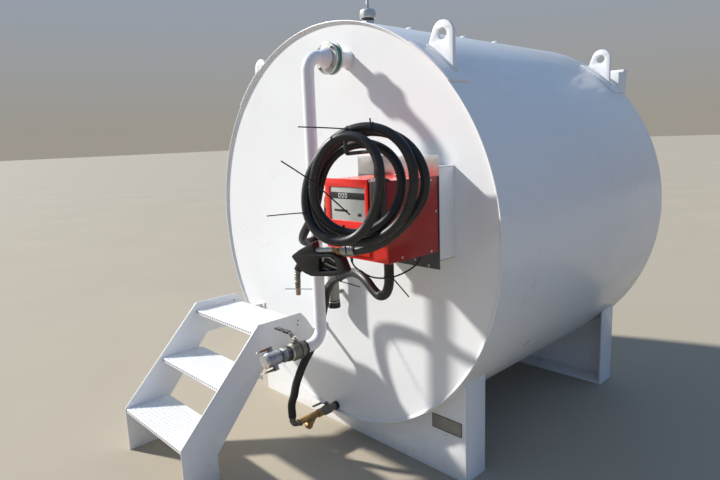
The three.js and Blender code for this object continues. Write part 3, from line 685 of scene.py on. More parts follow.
def saddle(name, outward, holes=()):
    low, high = box_mm(name)
    reach, depth, rise = high.x, high.y - low.y, shell_height(high.x)
    web_y = low.y if outward < 0 else high.y - SADDLE_PLATE
    half = math.degrees(math.asin(reach / CRADLE_RADIUS))
    curve = arc((0, AXIS), CRADLE_RADIUS, 270 - half, 270 + half, 72)
    web = [(reach, 0)] + curve[::-1] + [(-reach, 0)]
    form = Form().plate(web, SADDLE_PLATE, upright_front((0, web_y, 0)), holes=holes, edge=1.6)
    inner_y = web_y + SADDLE_PLATE if outward < 0 else low.y
    rest = depth - SADDLE_PLATE
    for side in (-1, 1):
        near, far = side * (reach - SADDLE_PLATE), side * reach
        ends = [(near, 0), (far, 0), (far, rise - 1), (near, shell_height(near) - 1)]
        form.plate(ends, rest, upright_front((0, inner_y, 0)), edge=1.6)
        form.bead([(side * (reach - 1), y, rise) for y in (low.y + 3, high.y - 3)], 4)
        foot = side * (reach - SADDLE_PLATE - 3)
        form.bead([(foot, inner_y + 3, SADDLE_BASE + 3), (foot, inner_y + rest - 3, SADDLE_BASE + 3)], 3.5)
    form.block((-reach + SADDLE_PLATE, inner_y, 0), (reach - SADDLE_PLATE, inner_y + rest, SADDLE_BASE))
    faces = (low.y, inner_y) if outward < 0 else (high.y, web_y)
    for y in (faces[0] + outward, faces[1] - 2 * outward):
        arch = arc((0, AXIS), RADIUS + 3, 270 - half + 0.6, 270 + half - 0.6, 72)
        form.bead([(x, y, z) for x, z in arch], 4)
    return form


for name, outward in (("front_saddle", -1), ("rear_saddle", 1)):
    form = saddle(name, outward, WEB_HOLES if name == "front_saddle" else ())
    piece(name + "_welded", form, [white], name)

# %% [markdown]
# ## Lifting lugs
# A lug is a thick plate with a round head and an eye for a shackle. It stands on a curved pad that spreads
# the load, welded all round. The plate is cut from one outline with its hole, and its foot follows the pad.

# %% Lifting lugs
LUG_EYE = (685, 2075)
LUG_EYE_RADIUS = 24
LUG_HEAD = 58
LUG_THICKNESS = 20
LUG_SETBACK = 100
PAD_THICKNESS = 8
PAD_ARC = (33.5, 48.5)


def on_shell(angle, radius):
    """A point on the cross-section, with the angle taken from the top towards the right."""
    turn = math.radians(angle)
    return radius * math.sin(turn), AXIS + radius * math.cos(turn)


def bent_slab(form, angles, radii, depths, side=1, edge=2.0):
    """A curved plate between two angles, two radii and two distances along the tank."""
    section = rounded([(radii[0], depths[0]), (radii[1], depths[0]), (radii[1], depths[1]),
                       (radii[0], depths[1])], edge)
    rows = []
    for k in range(17):
        angle = angles[0] + (angles[1] - angles[0]) * k / 16
        rows.append([(side * on_shell(angle, p.x)[0], p.y, on_shell(angle, p.x)[1]) for p in section])
    return form.loft(rows)


def lug(name, side):
    low, high = box_mm(name)
    near, far = low.y, high.y
    middle = near + LUG_SETBACK if near < 0 else far - LUG_SETBACK
    radius = RADIUS + PAD_THICKNESS
    head = arc(LUG_EYE, LUG_HEAD, 0, 157, 20)
    foot_right = math.degrees(math.asin((LUG_EYE[0] + LUG_HEAD) / (radius - 6)))
    foot = [on_shell(a, radius - 6) for a in np.linspace(35.1, foot_right, 9)]
    outline = [(side * x, z) for x, z in head + foot]
    eye = [(side * x, z) for x, z in circle(LUG_EYE, LUG_EYE_RADIUS, 28)]
    form = Form().plate(outline, LUG_THICKNESS, upright_front((0, middle - LUG_THICKNESS / 2, 0)),
                        holes=[eye], edge=2.5)
    bent_slab(form, PAD_ARC, (RADIUS + 0.3, radius), (near, far), side)
    span = [on_shell(a, radius + 1) for a in np.linspace(34.9, foot_right + 0.4, 24)]
    gap = LUG_THICKNESS / 2 + 2
    round_foot = [(side * x, middle - gap, z) for x, z in span]
    round_foot += [(side * x, middle + gap, z) for x, z in span[::-1]]
    form.bead(round_foot, 5, closed=True)
    rim = [(*on_shell(a, RADIUS + 2), y) for y, sweep in ((near - 1, 1), (far + 1, -1))
           for a in np.linspace(*PAD_ARC[::sweep], 20)]
    form.bead([(side * x, y, z) for x, z, y in rim], 4, closed=True)
    return form


for end in ("front", "rear"):
    for hand, side in (("right", 1), ("left", -1)):
        name = f"lifting_lug_{end}_{hand}"
        piece(name + "_welded", lug(name, side), [white], name)
print("lifting lugs on their pads")

# %% [markdown]
# ## Metals and paints of the fittings
# Bare castings are rougher than machined rings, and brass dulls to brown where it isn't touched, so each
# metal has uneven roughness and its own colour patches. The green coating, the red enamel and the grey
# plate are paints, with metal left at 0. The cabinet's side away from the sun gets a darker red, which is
# painted shade.

# %% Fitting finishes
aluminium = Finish("cast_aluminium", (0.55, 0.55, 0.53), 0.42, 0.85).patches(0.12, 26).uneven(0.32, 0.55, 40)
aluminium.grain(300, 0.0003, 0.5)
steel = Finish("valve_steel", (0.42, 0.40, 0.36), 0.38, 0.85).patches(0.16, 30).uneven(0.25, 0.48, 50)
steel.grain(380, 0.0003, 0.4)
dark_steel = Finish("lever_steel", (0.16, 0.155, 0.15), 0.42, 0.8).patches(0.25, 40).uneven(0.3, 0.55, 60)
chrome = Finish("cap_chrome", (0.40, 0.43, 0.47), 0.34, 0.85).patches(0.12, 18).uneven(0.26, 0.44, 24)
valve_cast = Finish("valve_cast", (0.20, 0.19, 0.155), 0.40, 0.6).patches(0.2, 26).uneven(0.34, 0.56, 45)
valve_cast.grain(300, 0.0004, 0.5)
dial_face = Finish("dial_face", (0.55, 0.56, 0.55), 0.4, 0.5).patches(0.08, 22).uneven(0.3, 0.5, 30)
olive_plate = Finish("olive_plate", (0.30, 0.29, 0.26), 0.5, 0.5).patches(0.12, 12).uneven(0.4, 0.6, 30)
tube_olive = Finish("tube_plastic", (0.34, 0.34, 0.30), 0.45).patches(0.1, 16).uneven(0.38, 0.55, 24)
brass = Finish("brass", (0.40, 0.25, 0.10), 0.40, 0.85).patches(0.25, 34).uneven(0.26, 0.52, 45)
brass.grain(420, 0.0003, 0.4)
teal = Finish("teal_coating", (0.030, 0.20, 0.165), 0.36).patches(0.16, 30).uneven(0.28, 0.46, 35)
red = Finish("red_enamel", (0.78, 0.026, 0.016), 0.42).patches(0.06, 9).uneven(0.36, 0.48, 12)
# A darker copy of the red enamel: painted shade for the cabinet's side away from the sun.
red_painted_shade = Finish("red_enamel_painted_shade", (0.36, 0.014, 0.009), 0.42).patches(0.10, 9).uneven(0.36, 0.48, 12)
for made in (red, red_painted_shade):
    made.set(**{"Specular IOR Level": 0.2, "Coat Weight": 0.5, "Coat Roughness": 0.07})
    made.grain(500, 0.0001, 0.4, 2)
# The dark grey is the back plate's own colour. On the treads it is also the painted shade of the lip's
# holes.
grey = Finish("grey_plate", (0.07, 0.074, 0.08), 0.48).patches(0.10, 12).uneven(0.36, 0.55, 20)
bare = Finish("bare_strip", (0.58, 0.57, 0.54), 0.34, 0.85).patches(0.08, 14).uneven(0.26, 0.42, 30)
plastic = Finish("black_plastic", (0.014, 0.014, 0.015), 0.42).patches(0.25, 26).uneven(0.32, 0.5, 40)
plastic.grain(700, 0.0001, 0.4, 2)
iron = Finish("black_iron", (0.020, 0.020, 0.021), 0.48).patches(0.3, 30).uneven(0.36, 0.6, 45)
iron.grain(260, 0.0004, 0.6, 5)
spout_tone = Finish("spout_metal", (0.36, 0.29, 0.22), 0.40, 0.75).patches(0.15, 40).uneven(0.3, 0.5, 60)
spout_wrap = Finish("spout_wrap", (0.33, 0.33, 0.27), 0.4, 0.6).patches(0.2, 60).uneven(0.4, 0.6, 60)
spout_ring = Finish("spout_ring", (0.12, 0.10, 0.075), 0.45, 0.6).patches(0.2, 60)
print("fitting finishes ready")

# %% [markdown]
# ## Fittings along the top
# Three capped sockets and a vent stand on the crown. Each is a turned body, because a socket, a plug and a
# cowl are all round, with flats or slots only where a wrench or an opening needs them.

# %% Top fittings
CAP_TOP = [(0, 18), (31.5, 18), (31.5, 34), (26, 43), (13, 48), (0, 49)]
COWL = [(0, 58), (43, 58), (43.5, 64), (43.5, 92), (36, 103), (14, 108), (9, 112), (0, 112)]


def foot(node):
    """The middle of the underside of the node's box."""
    low, high = box_mm(node)
    return (low.x + high.x) / 2, (low.y + high.y) / 2, low.z


for name in ("top_cap_front", "top_cap_middle", "top_cap_rear"):
    x, y, z = foot(name)
    place = toward(Z, (x, y, z))
    cap = Form().disc(26, 0, 18, place, sides=32).turned(CAP_TOP, place, sides=32, soft=3)
    cap.bead([(x + p, y + q, z + 3) for p, q in circle((0, 0), 28, 24)], 3, closed=True)
    piece(name + "_turned", cap, [white], name)

place = toward(Z, foot("vent_cowl"))
vent = Form().disc(33, 0, 24, place, sides=40, soft=1.5).prism(62, 24, 44, place, soft=1.5)
vent.disc(30, 44, 58, place, 1, 40, 0.5)
for z in range(46, 58, 3):
    vent.collar(30, 34, z, z + 2, place, 1, 40, 0.3, slope=0.4)
vent.turned(COWL, place, sides=40, soft=2.5).disc(8, 112, 150, place, sides=20)
piece("vent_cowl_turned", vent, [aluminium, dark_steel], "vent_cowl")

# %% Rear box
LID_HEIGHT, LID_OVERHANG = 18, 6
low, high = box_mm("rear_box")
lid_z = high.z - LID_HEIGHT
rear_box = Form().block((low.x + LID_OVERHANG, low.y, low.z),
                        (high.x - LID_OVERHANG, high.y - LID_OVERHANG, lid_z), edge=3)
rear_box.block((low.x, low.y + 60, lid_z), high, edge=2.5)
piece("rear_box_folded", rear_box, [white], "rear_box")

# %% [markdown]
# ## The fill line
# Fuel is pumped in at the bottom valve and enters the tank through the socket near the top. The union is a
# dark green ring between two bare flanges, drawn together by four bolts. The pipe is a tube along a path
# with a round bend at each end, as a bought elbow has.

# %% Fill line
low, high = box_mm("fill_union")
FILL_X, FILL_Z = (low.x + high.x) / 2, (low.z + high.z) / 2
UNION_FRONT = low.y
UNION_DEPTH = high.y - low.y
BOLT_CIRCLE = 62
place = toward(-Y, (FILL_X, high.y, FILL_Z))
union = Form().turned([(0, 0), (74, 0), (74.6, 3), (74.6, 10), (73, 11.5), (0, 11.5)], place, sides=64)
union.turned([(0, 11.5), (68, 11.5), (69.6, 13), (69.6, 33), (68, 34.5), (0, 34.5)], place, 1, 64, 1.5)
union.turned([(0, 34.5), (73, 34.5), (74.6, 36), (74.6, UNION_DEPTH - 2), (73, UNION_DEPTH),
              (0, UNION_DEPTH)], place, sides=64)
for x, z in arc((0, 0), BOLT_CIRCLE, 45, 315, 3):
    bolt = place @ Matrix.Translation((x, z, 0))
    union.prism(13, UNION_DEPTH - 0.5, UNION_DEPTH + 7, bolt, 2, soft=0.8)
    union.disc(3.6, UNION_DEPTH + 6, UNION_DEPTH + 11, bolt, 2, 14, 0.5)
piece("fill_union_bolted", union, [aluminium, teal, steel], "fill_union")

low, high = box_mm("fill_socket")
socket = Form().disc(38, 0, high.y - low.y, toward(-Y, (FILL_X, high.y, FILL_Z)))
socket.bead([(FILL_X + x, high.y - 3, FILL_Z + z) for x, z in circle((0, 0), 40, 36)], 4, closed=True)
piece("fill_socket_welded", socket, [white], "fill_socket")


def bent(points, radius, steps=10):
    """A path with its inner corners turned into arcs of one radius."""
    points = [Vector(p) for p in points]
    path = [points[0]]
    for before, corner, after in zip(points, points[1:], points[2:]):
        u, w = (before - corner).normalized(), (after - corner).normalized()
        half = u.angle(w) / 2
        middle = corner + (u + w).normalized() * radius / math.sin(half)
        start, end = corner + u * radius / math.tan(half), corner + w * radius / math.tan(half)
        for k in range(steps + 1):
            spoke = (start - middle).normalized().slerp((end - middle).normalized(), k / steps)
            path.append(middle + spoke * radius)
    return path + [points[-1]]


# %% Fill pipe
PIPE_RADIUS = 30
PIPE_OUT = 244
TOP_BEND, LOW_BEND, LOW_BEND_START = 64, 76, 80
REDUCER = [(0, 0), (51, 0), (51, 8), (46, 16), (33, 40), (30.5, 48), (0, 48)]
low, high = box_mm("fill_pipe")
VALVE_Z = low.z + PIPE_RADIUS
VALVE_REAR = box_mm("fill_valve_body")[1].y
drop_y = FRONT - PIPE_OUT
top_run = [(FILL_X, UNION_FRONT - 6, FILL_Z), (FILL_X, drop_y, FILL_Z), (FILL_X, drop_y, VALVE_Z)]
low_run = [(FILL_X, drop_y, FILL_Z - LOW_BEND_START), (FILL_X, drop_y, VALVE_Z),
           (FILL_X, VALVE_REAR, VALVE_Z)]
pipe_path = bent(top_run, TOP_BEND, 14)[:-1] + bent(low_run, LOW_BEND, 14)[1:]
pipe = Form().tube(pipe_path, PIPE_RADIUS, sides=36)
pipe.turned(REDUCER, toward(-Y, (FILL_X, UNION_FRONT - 0.3, FILL_Z)), soft=3)
piece("fill_pipe_bent", pipe, [white], "fill_pipe")

# %% Fill valve
VALVE_BODY = [(0, 22), (36, 22), (43.5, 32), (44, 60), (43.5, 82), (40, 88), (0, 88)]
VALVE_STEM = [(0, 30), (17, 36), (17, 50), (12, 52), (12, 58), (0, 58)]
STEM_OUT = 60
place = toward(-Y, (FILL_X, VALVE_REAR, VALVE_Z))
valve = Form().prism(72, 0, 12, place, 1, 8, 1.5).prism(70, 12, 23, place, 0, 8, 1.5)
valve.turned(VALVE_BODY, place, soft=4).collar(43, 44.8, 44, 49, place, 1, soft=0)
valve.turned([(0, 87), (39.5, 87), (38, 97), (0, 97)], place, 2).prism(68, 97, 118, place, 0, 8, 1.5)
for groove in (100, 109):
    valve.collar(34, 37.4, groove, groove + 3, place, 1, soft=0.6)
valve.turned(VALVE_STEM, toward(Z, (FILL_X, VALVE_REAR - STEM_OUT, VALVE_Z)), sides=28)
piece("fill_valve_body_cast", valve, [valve_cast, plastic, bare], "fill_valve_body")


def lever(place, length, width, rise):
    """A strap handle: flat on the stem, bent up, then flat to its end."""
    line = rounded([(-14, 2.5), (16, 2.5), (32, rise + 2.5), (length, rise + 2.5)], 8, closed=False)
    strap = [(-width / 2, -2.3), (width / 2, -2.3), (width / 2, 2.3), (-width / 2, 2.3)]
    return Form().loft([[(p.x, y, p.y + z) for y, z in strap] for p in line], place)


place = Matrix.Translation((FILL_X, VALVE_REAR - STEM_OUT, box_mm("fill_valve_lever")[0].z))
place = place @ Matrix.Rotation(math.pi, 4, "Z")
handle = lever(place, 150, 22, 22).prism(16, 4, 13, place)
handle.block((38, -13, 18), (84, 13, 31), place, 1, edge=4)
handle.block((92, -12.5, 20), (148, 12.5, 29), place, 1, edge=3)
piece("fill_valve_lever_strap", handle, [steel, plastic], "fill_valve_lever", "fill_lever")

# %% Fill adaptor and dust cap
place = toward(-Y, (FILL_X, box_mm("fill_adaptor")[1].y, VALVE_Z))
adaptor = Form().disc(30, 0, 6, place, sides=40).prism(62, 6, 24, place, soft=1.5)
adaptor.disc(29, 24, 43, place, sides=40)
for z in (29, 36):
    adaptor.collar(29, 31, z, z + 3.5, place, 1, 40, 0.6)
adaptor.disc(33.6, 43, 58, place, sides=40)
piece("fill_adaptor_turned", adaptor, [chrome, dark_steel], "fill_adaptor")

CAP_TURN = math.radians(60)
CAP_BODY = [(0, 0), (34.8, 0), (35.8, 10), (35.8, 30), (34, 33), (34, 36), (35.8, 39), (35.8, 54), (0, 54)]
CAP_FACE = [(0, 53), (35.6, 53), (35.4, 57), (29.5, 66), (0, 66)]
ARM_PIVOT_OUT, ARM_PIVOT_X = 16, 49
EAR_INNER, EAR_OUTER = 30, ARM_PIVOT_X + 8
cap_turned = Matrix.Translation((FILL_X, box_mm("dust_cap")[1].y, VALVE_Z))
cap_turned = cap_turned @ Matrix.Rotation(CAP_TURN, 4, "Y")
place = cap_turned @ toward(-Y)
dust_cap = Form().turned(CAP_BODY, place, soft=2).turned(CAP_FACE, place, 1, soft=2)
for side in (-1, 1):
    start, end = sorted((side * EAR_INNER, side * EAR_OUTER))
    for height in (-13, 7):
        dust_cap.block((start, -ARM_PIVOT_OUT - 9, height), (end, -ARM_PIVOT_OUT + 9, height + 6),
                       cap_turned, edge=1.5)
    pin = cap_turned @ Matrix.Translation((side * (ARM_PIVOT_X + 4), -ARM_PIVOT_OUT, 0))
    dust_cap.disc(3.4, -13.5, 13.5, pin, 1, 16)
piece("dust_cap_cast", dust_cap, [chrome, bare], "dust_cap")

ARM_OUTLINE = [(-4, -58), (4, -58), (5, -40), (7, -6), (7, 3), (4, 7), (-4, 7), (-7, 3), (-7, -6), (-5, -40)]
finger_ring = [(0, -62 + 10 * y, 6.5 + 10 * z) for y, z in circle((0, 0), 1, 24)]
for hand, side in (("left", -1), ("right", 1)):
    place = cap_turned @ Matrix.Translation((side * ARM_PIVOT_X, -ARM_PIVOT_OUT, -6.5))
    arm = Form().plate(ARM_OUTLINE, 13, place, edge=1.6).tube(finger_ring, 2, place, 1, 10, closed=True)
    piece(f"cam_arm_{hand}_cast", arm, [brass, bare], f"cam_arm_{hand}", f"{hand}_cam_arm")
print("fill line from socket to dust cap")

# %% [markdown]
# ## The drain and the suction line
# Fuel leaves by a small ball valve, passes a brass strainer with its branch pointing down, and climbs to
# the pump through a black hose. The hose is held at both ends, so its route is fixed. It needs no settling:
# a smooth curve through listed places is enough.

# %% Drain valve
DRAIN_STEM_OUT, DRAIN_STEM_TOP = 66, 36
low, high = box_mm("drain_valve_body")
DRAIN_X, DRAIN_Z = (low.x + high.x) / 2, high.z - DRAIN_STEM_TOP
INSIDE = 0.5 - END_RECESS
place = toward(-Y, (DRAIN_X, FRONT, DRAIN_Z))
drain = Form().disc(21, INSIDE, 40, place, sides=32).prism(46, 36, 50, place, soft=1.2)
drain.turned([(0, 48), (25, 50), (27, 60), (27, 80), (23, 90), (0, 92)], place, sides=36, soft=3)
drain.prism(38, 88, 112, place, soft=1.2)
drain.turned([(0, 18), (10, 22), (10, 30), (7, 31), (7, DRAIN_STEM_TOP), (0, DRAIN_STEM_TOP)],
             toward(Z, (DRAIN_X, FRONT - DRAIN_STEM_OUT, DRAIN_Z)), sides=24)
drain.disc(24, INSIDE, 8, place, 1, 32)
piece("drain_valve_body_cast", drain, [valve_cast, plastic], "drain_valve_body")

place = Matrix.Translation((DRAIN_X, FRONT - DRAIN_STEM_OUT, box_mm("drain_valve_lever")[0].z))
place = place @ Matrix.Rotation(-math.pi / 2, 4, "Z")
piece("drain_valve_lever_strap", lever(place, 96, 16, 14).prism(11, 4, 11, place), [dark_steel],
      "drain_valve_lever", "drain_lever")

# %% Strainer and elbow
STRAINER_LENGTH = 150
STRAINER_BODY = [(0, 19), (18, 19), (19, 30), (19, 90), (16.5, 118), (16.5, 132), (0, 132)]
BRANCH_TILT, BRANCH_BACK = math.radians(40), 48
strainer_rear = box_mm("y_strainer")[1].y
place = toward(-Y, (DRAIN_X, strainer_rear, DRAIN_Z))
strainer = Form().prism(40, 0, 19, place, soft=1.2).turned(STRAINER_BODY, place, sides=32, soft=4)
strainer.prism(38, STRAINER_LENGTH - 18, STRAINER_LENGTH, place, soft=1.2)
place = toward((0, -math.sin(BRANCH_TILT), -math.cos(BRANCH_TILT)),
               (DRAIN_X, strainer_rear - BRANCH_BACK, DRAIN_Z))
strainer.disc(20, 0, 52, place, sides=32).prism(42, 50, 62, place, soft=1.5)
strainer.turned([(0, 60), (20, 60), (19, 68), (12, 74), (0, 75)], place, sides=32, soft=4)
piece("y_strainer_cast", strainer, [brass], "y_strainer")

ELBOW_RADIUS, ELBOW_BEND = 16, 28
low, high = box_mm("drain_elbow")
elbow_y = low.y + ELBOW_RADIUS
elbow_run = [(DRAIN_X, high.y, DRAIN_Z), (DRAIN_X, elbow_y, DRAIN_Z), (DRAIN_X, elbow_y, high.z)]
elbow = Form().tube(bent(elbow_run, ELBOW_BEND), ELBOW_RADIUS - 0.4, sides=28)
for z in (high.z - 26, high.z - 14):
    elbow.collar(15, 17.5, z, z + 8, toward(Z, (DRAIN_X, elbow_y, 0)), sides=28, slope=1)
piece("drain_elbow_crimped", elbow, [valve_cast], "drain_elbow")

# %% Suction hose
SUCTION_RADIUS = 21
SUCTION_STOPS = [
    (-30, -301.6, 200.3), (-30, -301.6, 270.3), (-5, -299, 335), (6, -293, 389), (17, -281, 434),
    (25, -262, 481), (30, -238, 520), (35, -214, 554), (38, -182, 600), (41, -155, 655), (46, -134, 710),
    (54, -120, 768), (64, -114, 823), (84, -116, 871), (127, -127, 917), (193, -148, 960), (258, -171, 987),
    (358, -205, 1026), (448, -236, 1040), (519, -255, 1024), (570, -264, 992), (612, -268, 974),
    (650, -270, 988), (670, -270, 1028), (674, -270, 1080), (674, -270, 1124),
]
suction_path = smooth_run([(x, FRONT + y, z) for x, y, z in SUCTION_STOPS], 12)
piece("suction_hose_run", Form().tube(suction_path, SUCTION_RADIUS, sides=22), [rubber],
      "suction_hose")

low, high = box_mm("pump_inlet")
place = toward(Z, foot("pump_inlet"))
inlet = Form().disc(23, 0, 14, place, sides=32, soft=2).prism(54, 14, high.z - low.z, place, soft=1.5)
piece("pump_inlet_turned", inlet, [steel], "pump_inlet")

# %% [markdown]
# ## Document tube
# A capped plastic tube on the end plate keeps the tank's papers dry. It is turned like the other round
# pieces: a smooth sleeve between two wider caps, with a pale seal above the lower one, and two straps
# that go back to the plate.

# %% Document tube
low, high = box_mm("document_tube")
reach, tall = (high.x - low.x) / 2, high.z - low.z
place = toward(Z, (low.x + reach, low.y + reach, low.z))
papers = Form().disc(reach - 3, 30, tall - 20, place, sides=40)
for wide, bottom, top, mark in ((reach, 0, 30, 1), (reach - 1, 30, 35, 2), (reach - 1, 36, 42, 1),
                                (reach, tall - 22, tall, 1)):
    papers.disc(wide, bottom, top, place, mark, 40, 2)
STRAP_WIDTH, STRAP_HEIGHT, STRAP_PLACES = 24, 20, (70, 190)
for up in STRAP_PLACES:
    papers.block((low.x + reach - STRAP_WIDTH / 2, low.y + reach + 20, low.z + up),
                 (low.x + reach + STRAP_WIDTH / 2, high.y, low.z + up + STRAP_HEIGHT))
piece("document_tube_capped", papers, [tube_olive, plastic, bare], "document_tube")

# %% [markdown]
# ## Steps
# Two side plates carry three folded treads, so that a person can reach the fill point. Each tread is a
# sheet with its front edge folded down and in. Rows of raised buttons give grip, and along the lip a row of
# thin dark discs stands for holes, their darkness painted shade. The buttons are real shapes, made by one
# loop each, so they catch the light.

# %% Step sides
STEP_PLATE = 6
STEP_BOLTS = [(-190, 695), (-194, 673)]
BOLT_ENDS = STEP_PLATE + 1.2
STEP_BOLT = [(0, -1.2), (4, -1.2), (5, -0.4), (5, STEP_PLATE + 0.4), (4, BOLT_ENDS), (0, BOLT_ENDS)]
STEP_OUTLINE = [(-909, 0), (-723, 0), (-723, 147), (-385, 543), (-91, 543), (-91, 628), (-133, 694),
                (-170, 735), (-441, 735), (-909, 244)]
for name, inward in (("step_side_left", 1), ("step_side_right", -1)):
    low, high = box_mm(name)
    x = low.x if inward > 0 else high.x - STEP_PLATE
    plate = Form().plate([(FRONT + y, z) for y, z in STEP_OUTLINE], STEP_PLATE, upright_side((x, 0, 0)),
                         edge=1.4)
    for y, z in STEP_BOLTS:
        plate.turned(STEP_BOLT, toward(X, (x, FRONT + y, z)), 1, 20, 0.3)
    plate.block((x + 0.4, FRONT - 96, 598), (x + STEP_PLATE - 0.4, high.y - 5, 626))
    start = x if inward > 0 else x - 34
    plate.block((start, high.y - 6, 598), (start + 40, high.y, 638))
    piece(name + "_cut", plate, [white, dark_steel], name)

# %% Treads
BUTTON_PITCH, BUTTON_RADIUS, BUTTON_RISE = 24, 6.5, 2.2
BUTTON = [(0, -0.5), (BUTTON_RADIUS, -0.5), (BUTTON_RADIUS * 0.82, BUTTON_RISE * 0.7),
          (BUTTON_RADIUS * 0.4, BUTTON_RISE), (0, BUTTON_RISE)]
ROW_PITCH = BUTTON_PITCH * 0.87
LIP, LIP_PITCH = 23, 20

for name in ("step_tread_low", "step_tread_middle", "step_tread_top"):
    low, high = box_mm(name)
    depth, top = high.y - low.y, high.z - BUTTON_RISE
    fold = [(0, 0), (depth, 0), (depth, -30), (depth - 3, -30), (depth - 3, -3), (3, -3), (3, -LIP + 3),
            (16, -LIP + 3), (16, -LIP), (0, -LIP)]
    tread = Form().plate([(low.y + p.x, top + p.y) for p in rounded(fold, 3.2)], high.x - low.x,
                         upright_side((low.x, 0, 0)), edge=0)
    for row in range(int((depth - 16) // ROW_PITCH)):
        x = low.x + (14 if row % 2 else 26)
        while x < high.x - 10:
            tread.turned(BUTTON, toward(Z, (x, low.y + 12 + row * ROW_PITCH, top)), sides=8, soft=0)
            x += BUTTON_PITCH
    # Each hole is a thin disc in the dark grey: painted shade where a real hole would show dark.
    for k in range(int((high.x - low.x) // LIP_PITCH)):
        hole = toward(-Y, (low.x + LIP_PITCH * (k + 0.5), low.y, top - 9))
        tread.disc(5, -1, 0.3, hole, 1, 10, 0)
    piece(name + "_folded", tread, [white, grey], name)
print("steps with three treads")

# %% [markdown]
# ## The pump's carrier
# The pump unit hangs on a grey back plate with a bare strip along its top, and that plate is bolted to a
# white bracket on the end plate. The bracket is a shallow tray: a flat front with four walls behind it. One
# thick block would be quicker, but it would look heavy from the side, where the thin sheet shows.

# %% Bracket and back plate
BRACKET_SHEET = 4
STRIP_BOTTOM = 1480
low, high = box_mm("pump_bracket")
bracket = Form().plate(rectangle((low.x, low.z), (high.x, high.z), 5), BRACKET_SHEET,
                       upright_front((0, low.y, 0)), edge=1.2)
for start, end in (((low.x, low.z), (high.x, low.z + BRACKET_SHEET)),
                   ((low.x, high.z - BRACKET_SHEET), (high.x, high.z)),
                   ((low.x, low.z), (low.x + BRACKET_SHEET, high.z)),
                   ((high.x - BRACKET_SHEET, low.z), (high.x, high.z))):
    bracket.block((start[0], low.y + 2, start[1]), (end[0], high.y, end[1]), edge=1.2)
piece("pump_bracket_folded", bracket, [white], "pump_bracket")

low, high = box_mm("pump_back_plate")
back_plate = Form().block(low, (high.x, high.y, STRIP_BOTTOM), edge=0.8)
back_plate.block((low.x, low.y, STRIP_BOTTOM), high, mark=1, edge=0.8)
piece("pump_back_plate_cut", back_plate, [grey, bare], "pump_back_plate")

# %% [markdown]
# ## Blank plate
# A thin olive plate with a narrow dark rim is fixed to the front saddle. Its face is left bare. A painted
# rim could come from a picture, but a second plate with a window, laid over the first, stays sharp at any
# distance and catches the light at its edge.

# %% Blank plate on the saddle
PLATE_LOW, PLATE_HIGH, PLATE_RIM = (612, 228), (790, 302), 5
SADDLE_FACE = box_mm("front_saddle")[0].y
outline = rectangle(PLATE_LOW, PLATE_HIGH, 4)
window = rectangle([c + PLATE_RIM for c in PLATE_LOW], [c - PLATE_RIM for c in PLATE_HIGH], 3)
blank = Form().plate(outline, 1.8, upright_front((0, SADDLE_FACE - 1.6, 0)), edge=0.4)
blank.plate(outline, 2, upright_front((0, SADDLE_FACE - 2, 0)), 1, holes=[window], edge=0.3)
piece("saddle_plate_blank", blank, [olive_plate, dark_steel])

# %% [markdown]
# ## Cabinet, counter and pump
# The red cabinet is folded sheet, so its edges are tight curves. The counter's frame on its front is a
# second folded piece with a recess for the dial, which has a dark band with three plain zeros. The
# nozzle's holster is moulded plastic, and the pump's cast body stands out on the left.

# %% Cabinet
SCREW = [(0, -0.5), (5.4, -0.5), (5.4, 0.8), (3.8, 2.4), (0, 2.8)]
SIDE_SCREWS = [(-485, 1175), (-304, 1171), (-271, 1335), (-485, 1466), (-304, 1466)]
PLATE_SCREWS = [(669, 1110), (747, 1094), (372, 1110), (372, 1440)]
low, high = box_mm("pump_cabinet")
CABINET_FRONT, CABINET_TOP, CABINET_LEFT = low.y, high.z, low.x
cabinet = Form().plate(rectangle(low, high, 7), high.z - low.z, Matrix.Translation((0, 0, low.z)), edge=2.5)
# Faces on the cabinet's right side, away from the sun, take the darker red of painted shade.
cabinet.marks = [int(all(cabinet.points[i].x > high.x - 3 for i in face)) for face in cabinet.faces]
piece("pump_cabinet_folded", cabinet, [red, red_painted_shade], "pump_cabinet")
screws = Form()
for y, z in SIDE_SCREWS:
    screws.turned(SCREW, toward(X, (high.x, y, z)), sides=20, soft=0.4)
for x, z in PLATE_SCREWS:
    screws.turned(SCREW, toward(-Y, (x, PLATE_Y, z)), sides=20, soft=0.4)
piece("cabinet_screws", screws, [bare])

# %% Console
FACE_LOW, FACE_HIGH = (489, 1316), (693, 1452)
DIGIT_BAND = (1405, 1431)
DIGIT_WIDTH, DIGIT_STEP = 13, 19
low, high = box_mm("pump_console")
face = rectangle(FACE_LOW, FACE_HIGH, 6)
face_y = low.y + 3.5
console = Form().plate(rectangle((low.x, low.z), (high.x, high.z), 6), high.y - low.y,
                       upright_front((0, low.y, 0)), holes=[face], edge=2)
console.plate(inset(face, -2), 3, upright_front((0, face_y, 0)), mark=1, edge=0.5)
console.block((FACE_LOW[0] + 2, face_y - 1.5, DIGIT_BAND[0]), (FACE_HIGH[0] - 2, face_y + 1, DIGIT_BAND[1]),
              mark=2, edge=0.6)
for start, end in (((511, 1352), (589, 1361)), ((650, 1338), (670, 1350))):
    console.block((start[0], face_y - 1, start[1]), (end[0], face_y + 1, end[1]), mark=2, edge=0.5)
for x in range(541, 541 + 3 * DIGIT_STEP, DIGIT_STEP):
    ring = rectangle((x, 1409), (x + DIGIT_WIDTH, 1427), 5)
    console.plate(ring, 1.2, upright_front((0, face_y - 2.2, 0)), 3, holes=[inset(ring, 2.6)], edge=0.2)
piece("pump_console_frame", console, [red, dial_face, plastic, white], "pump_console")

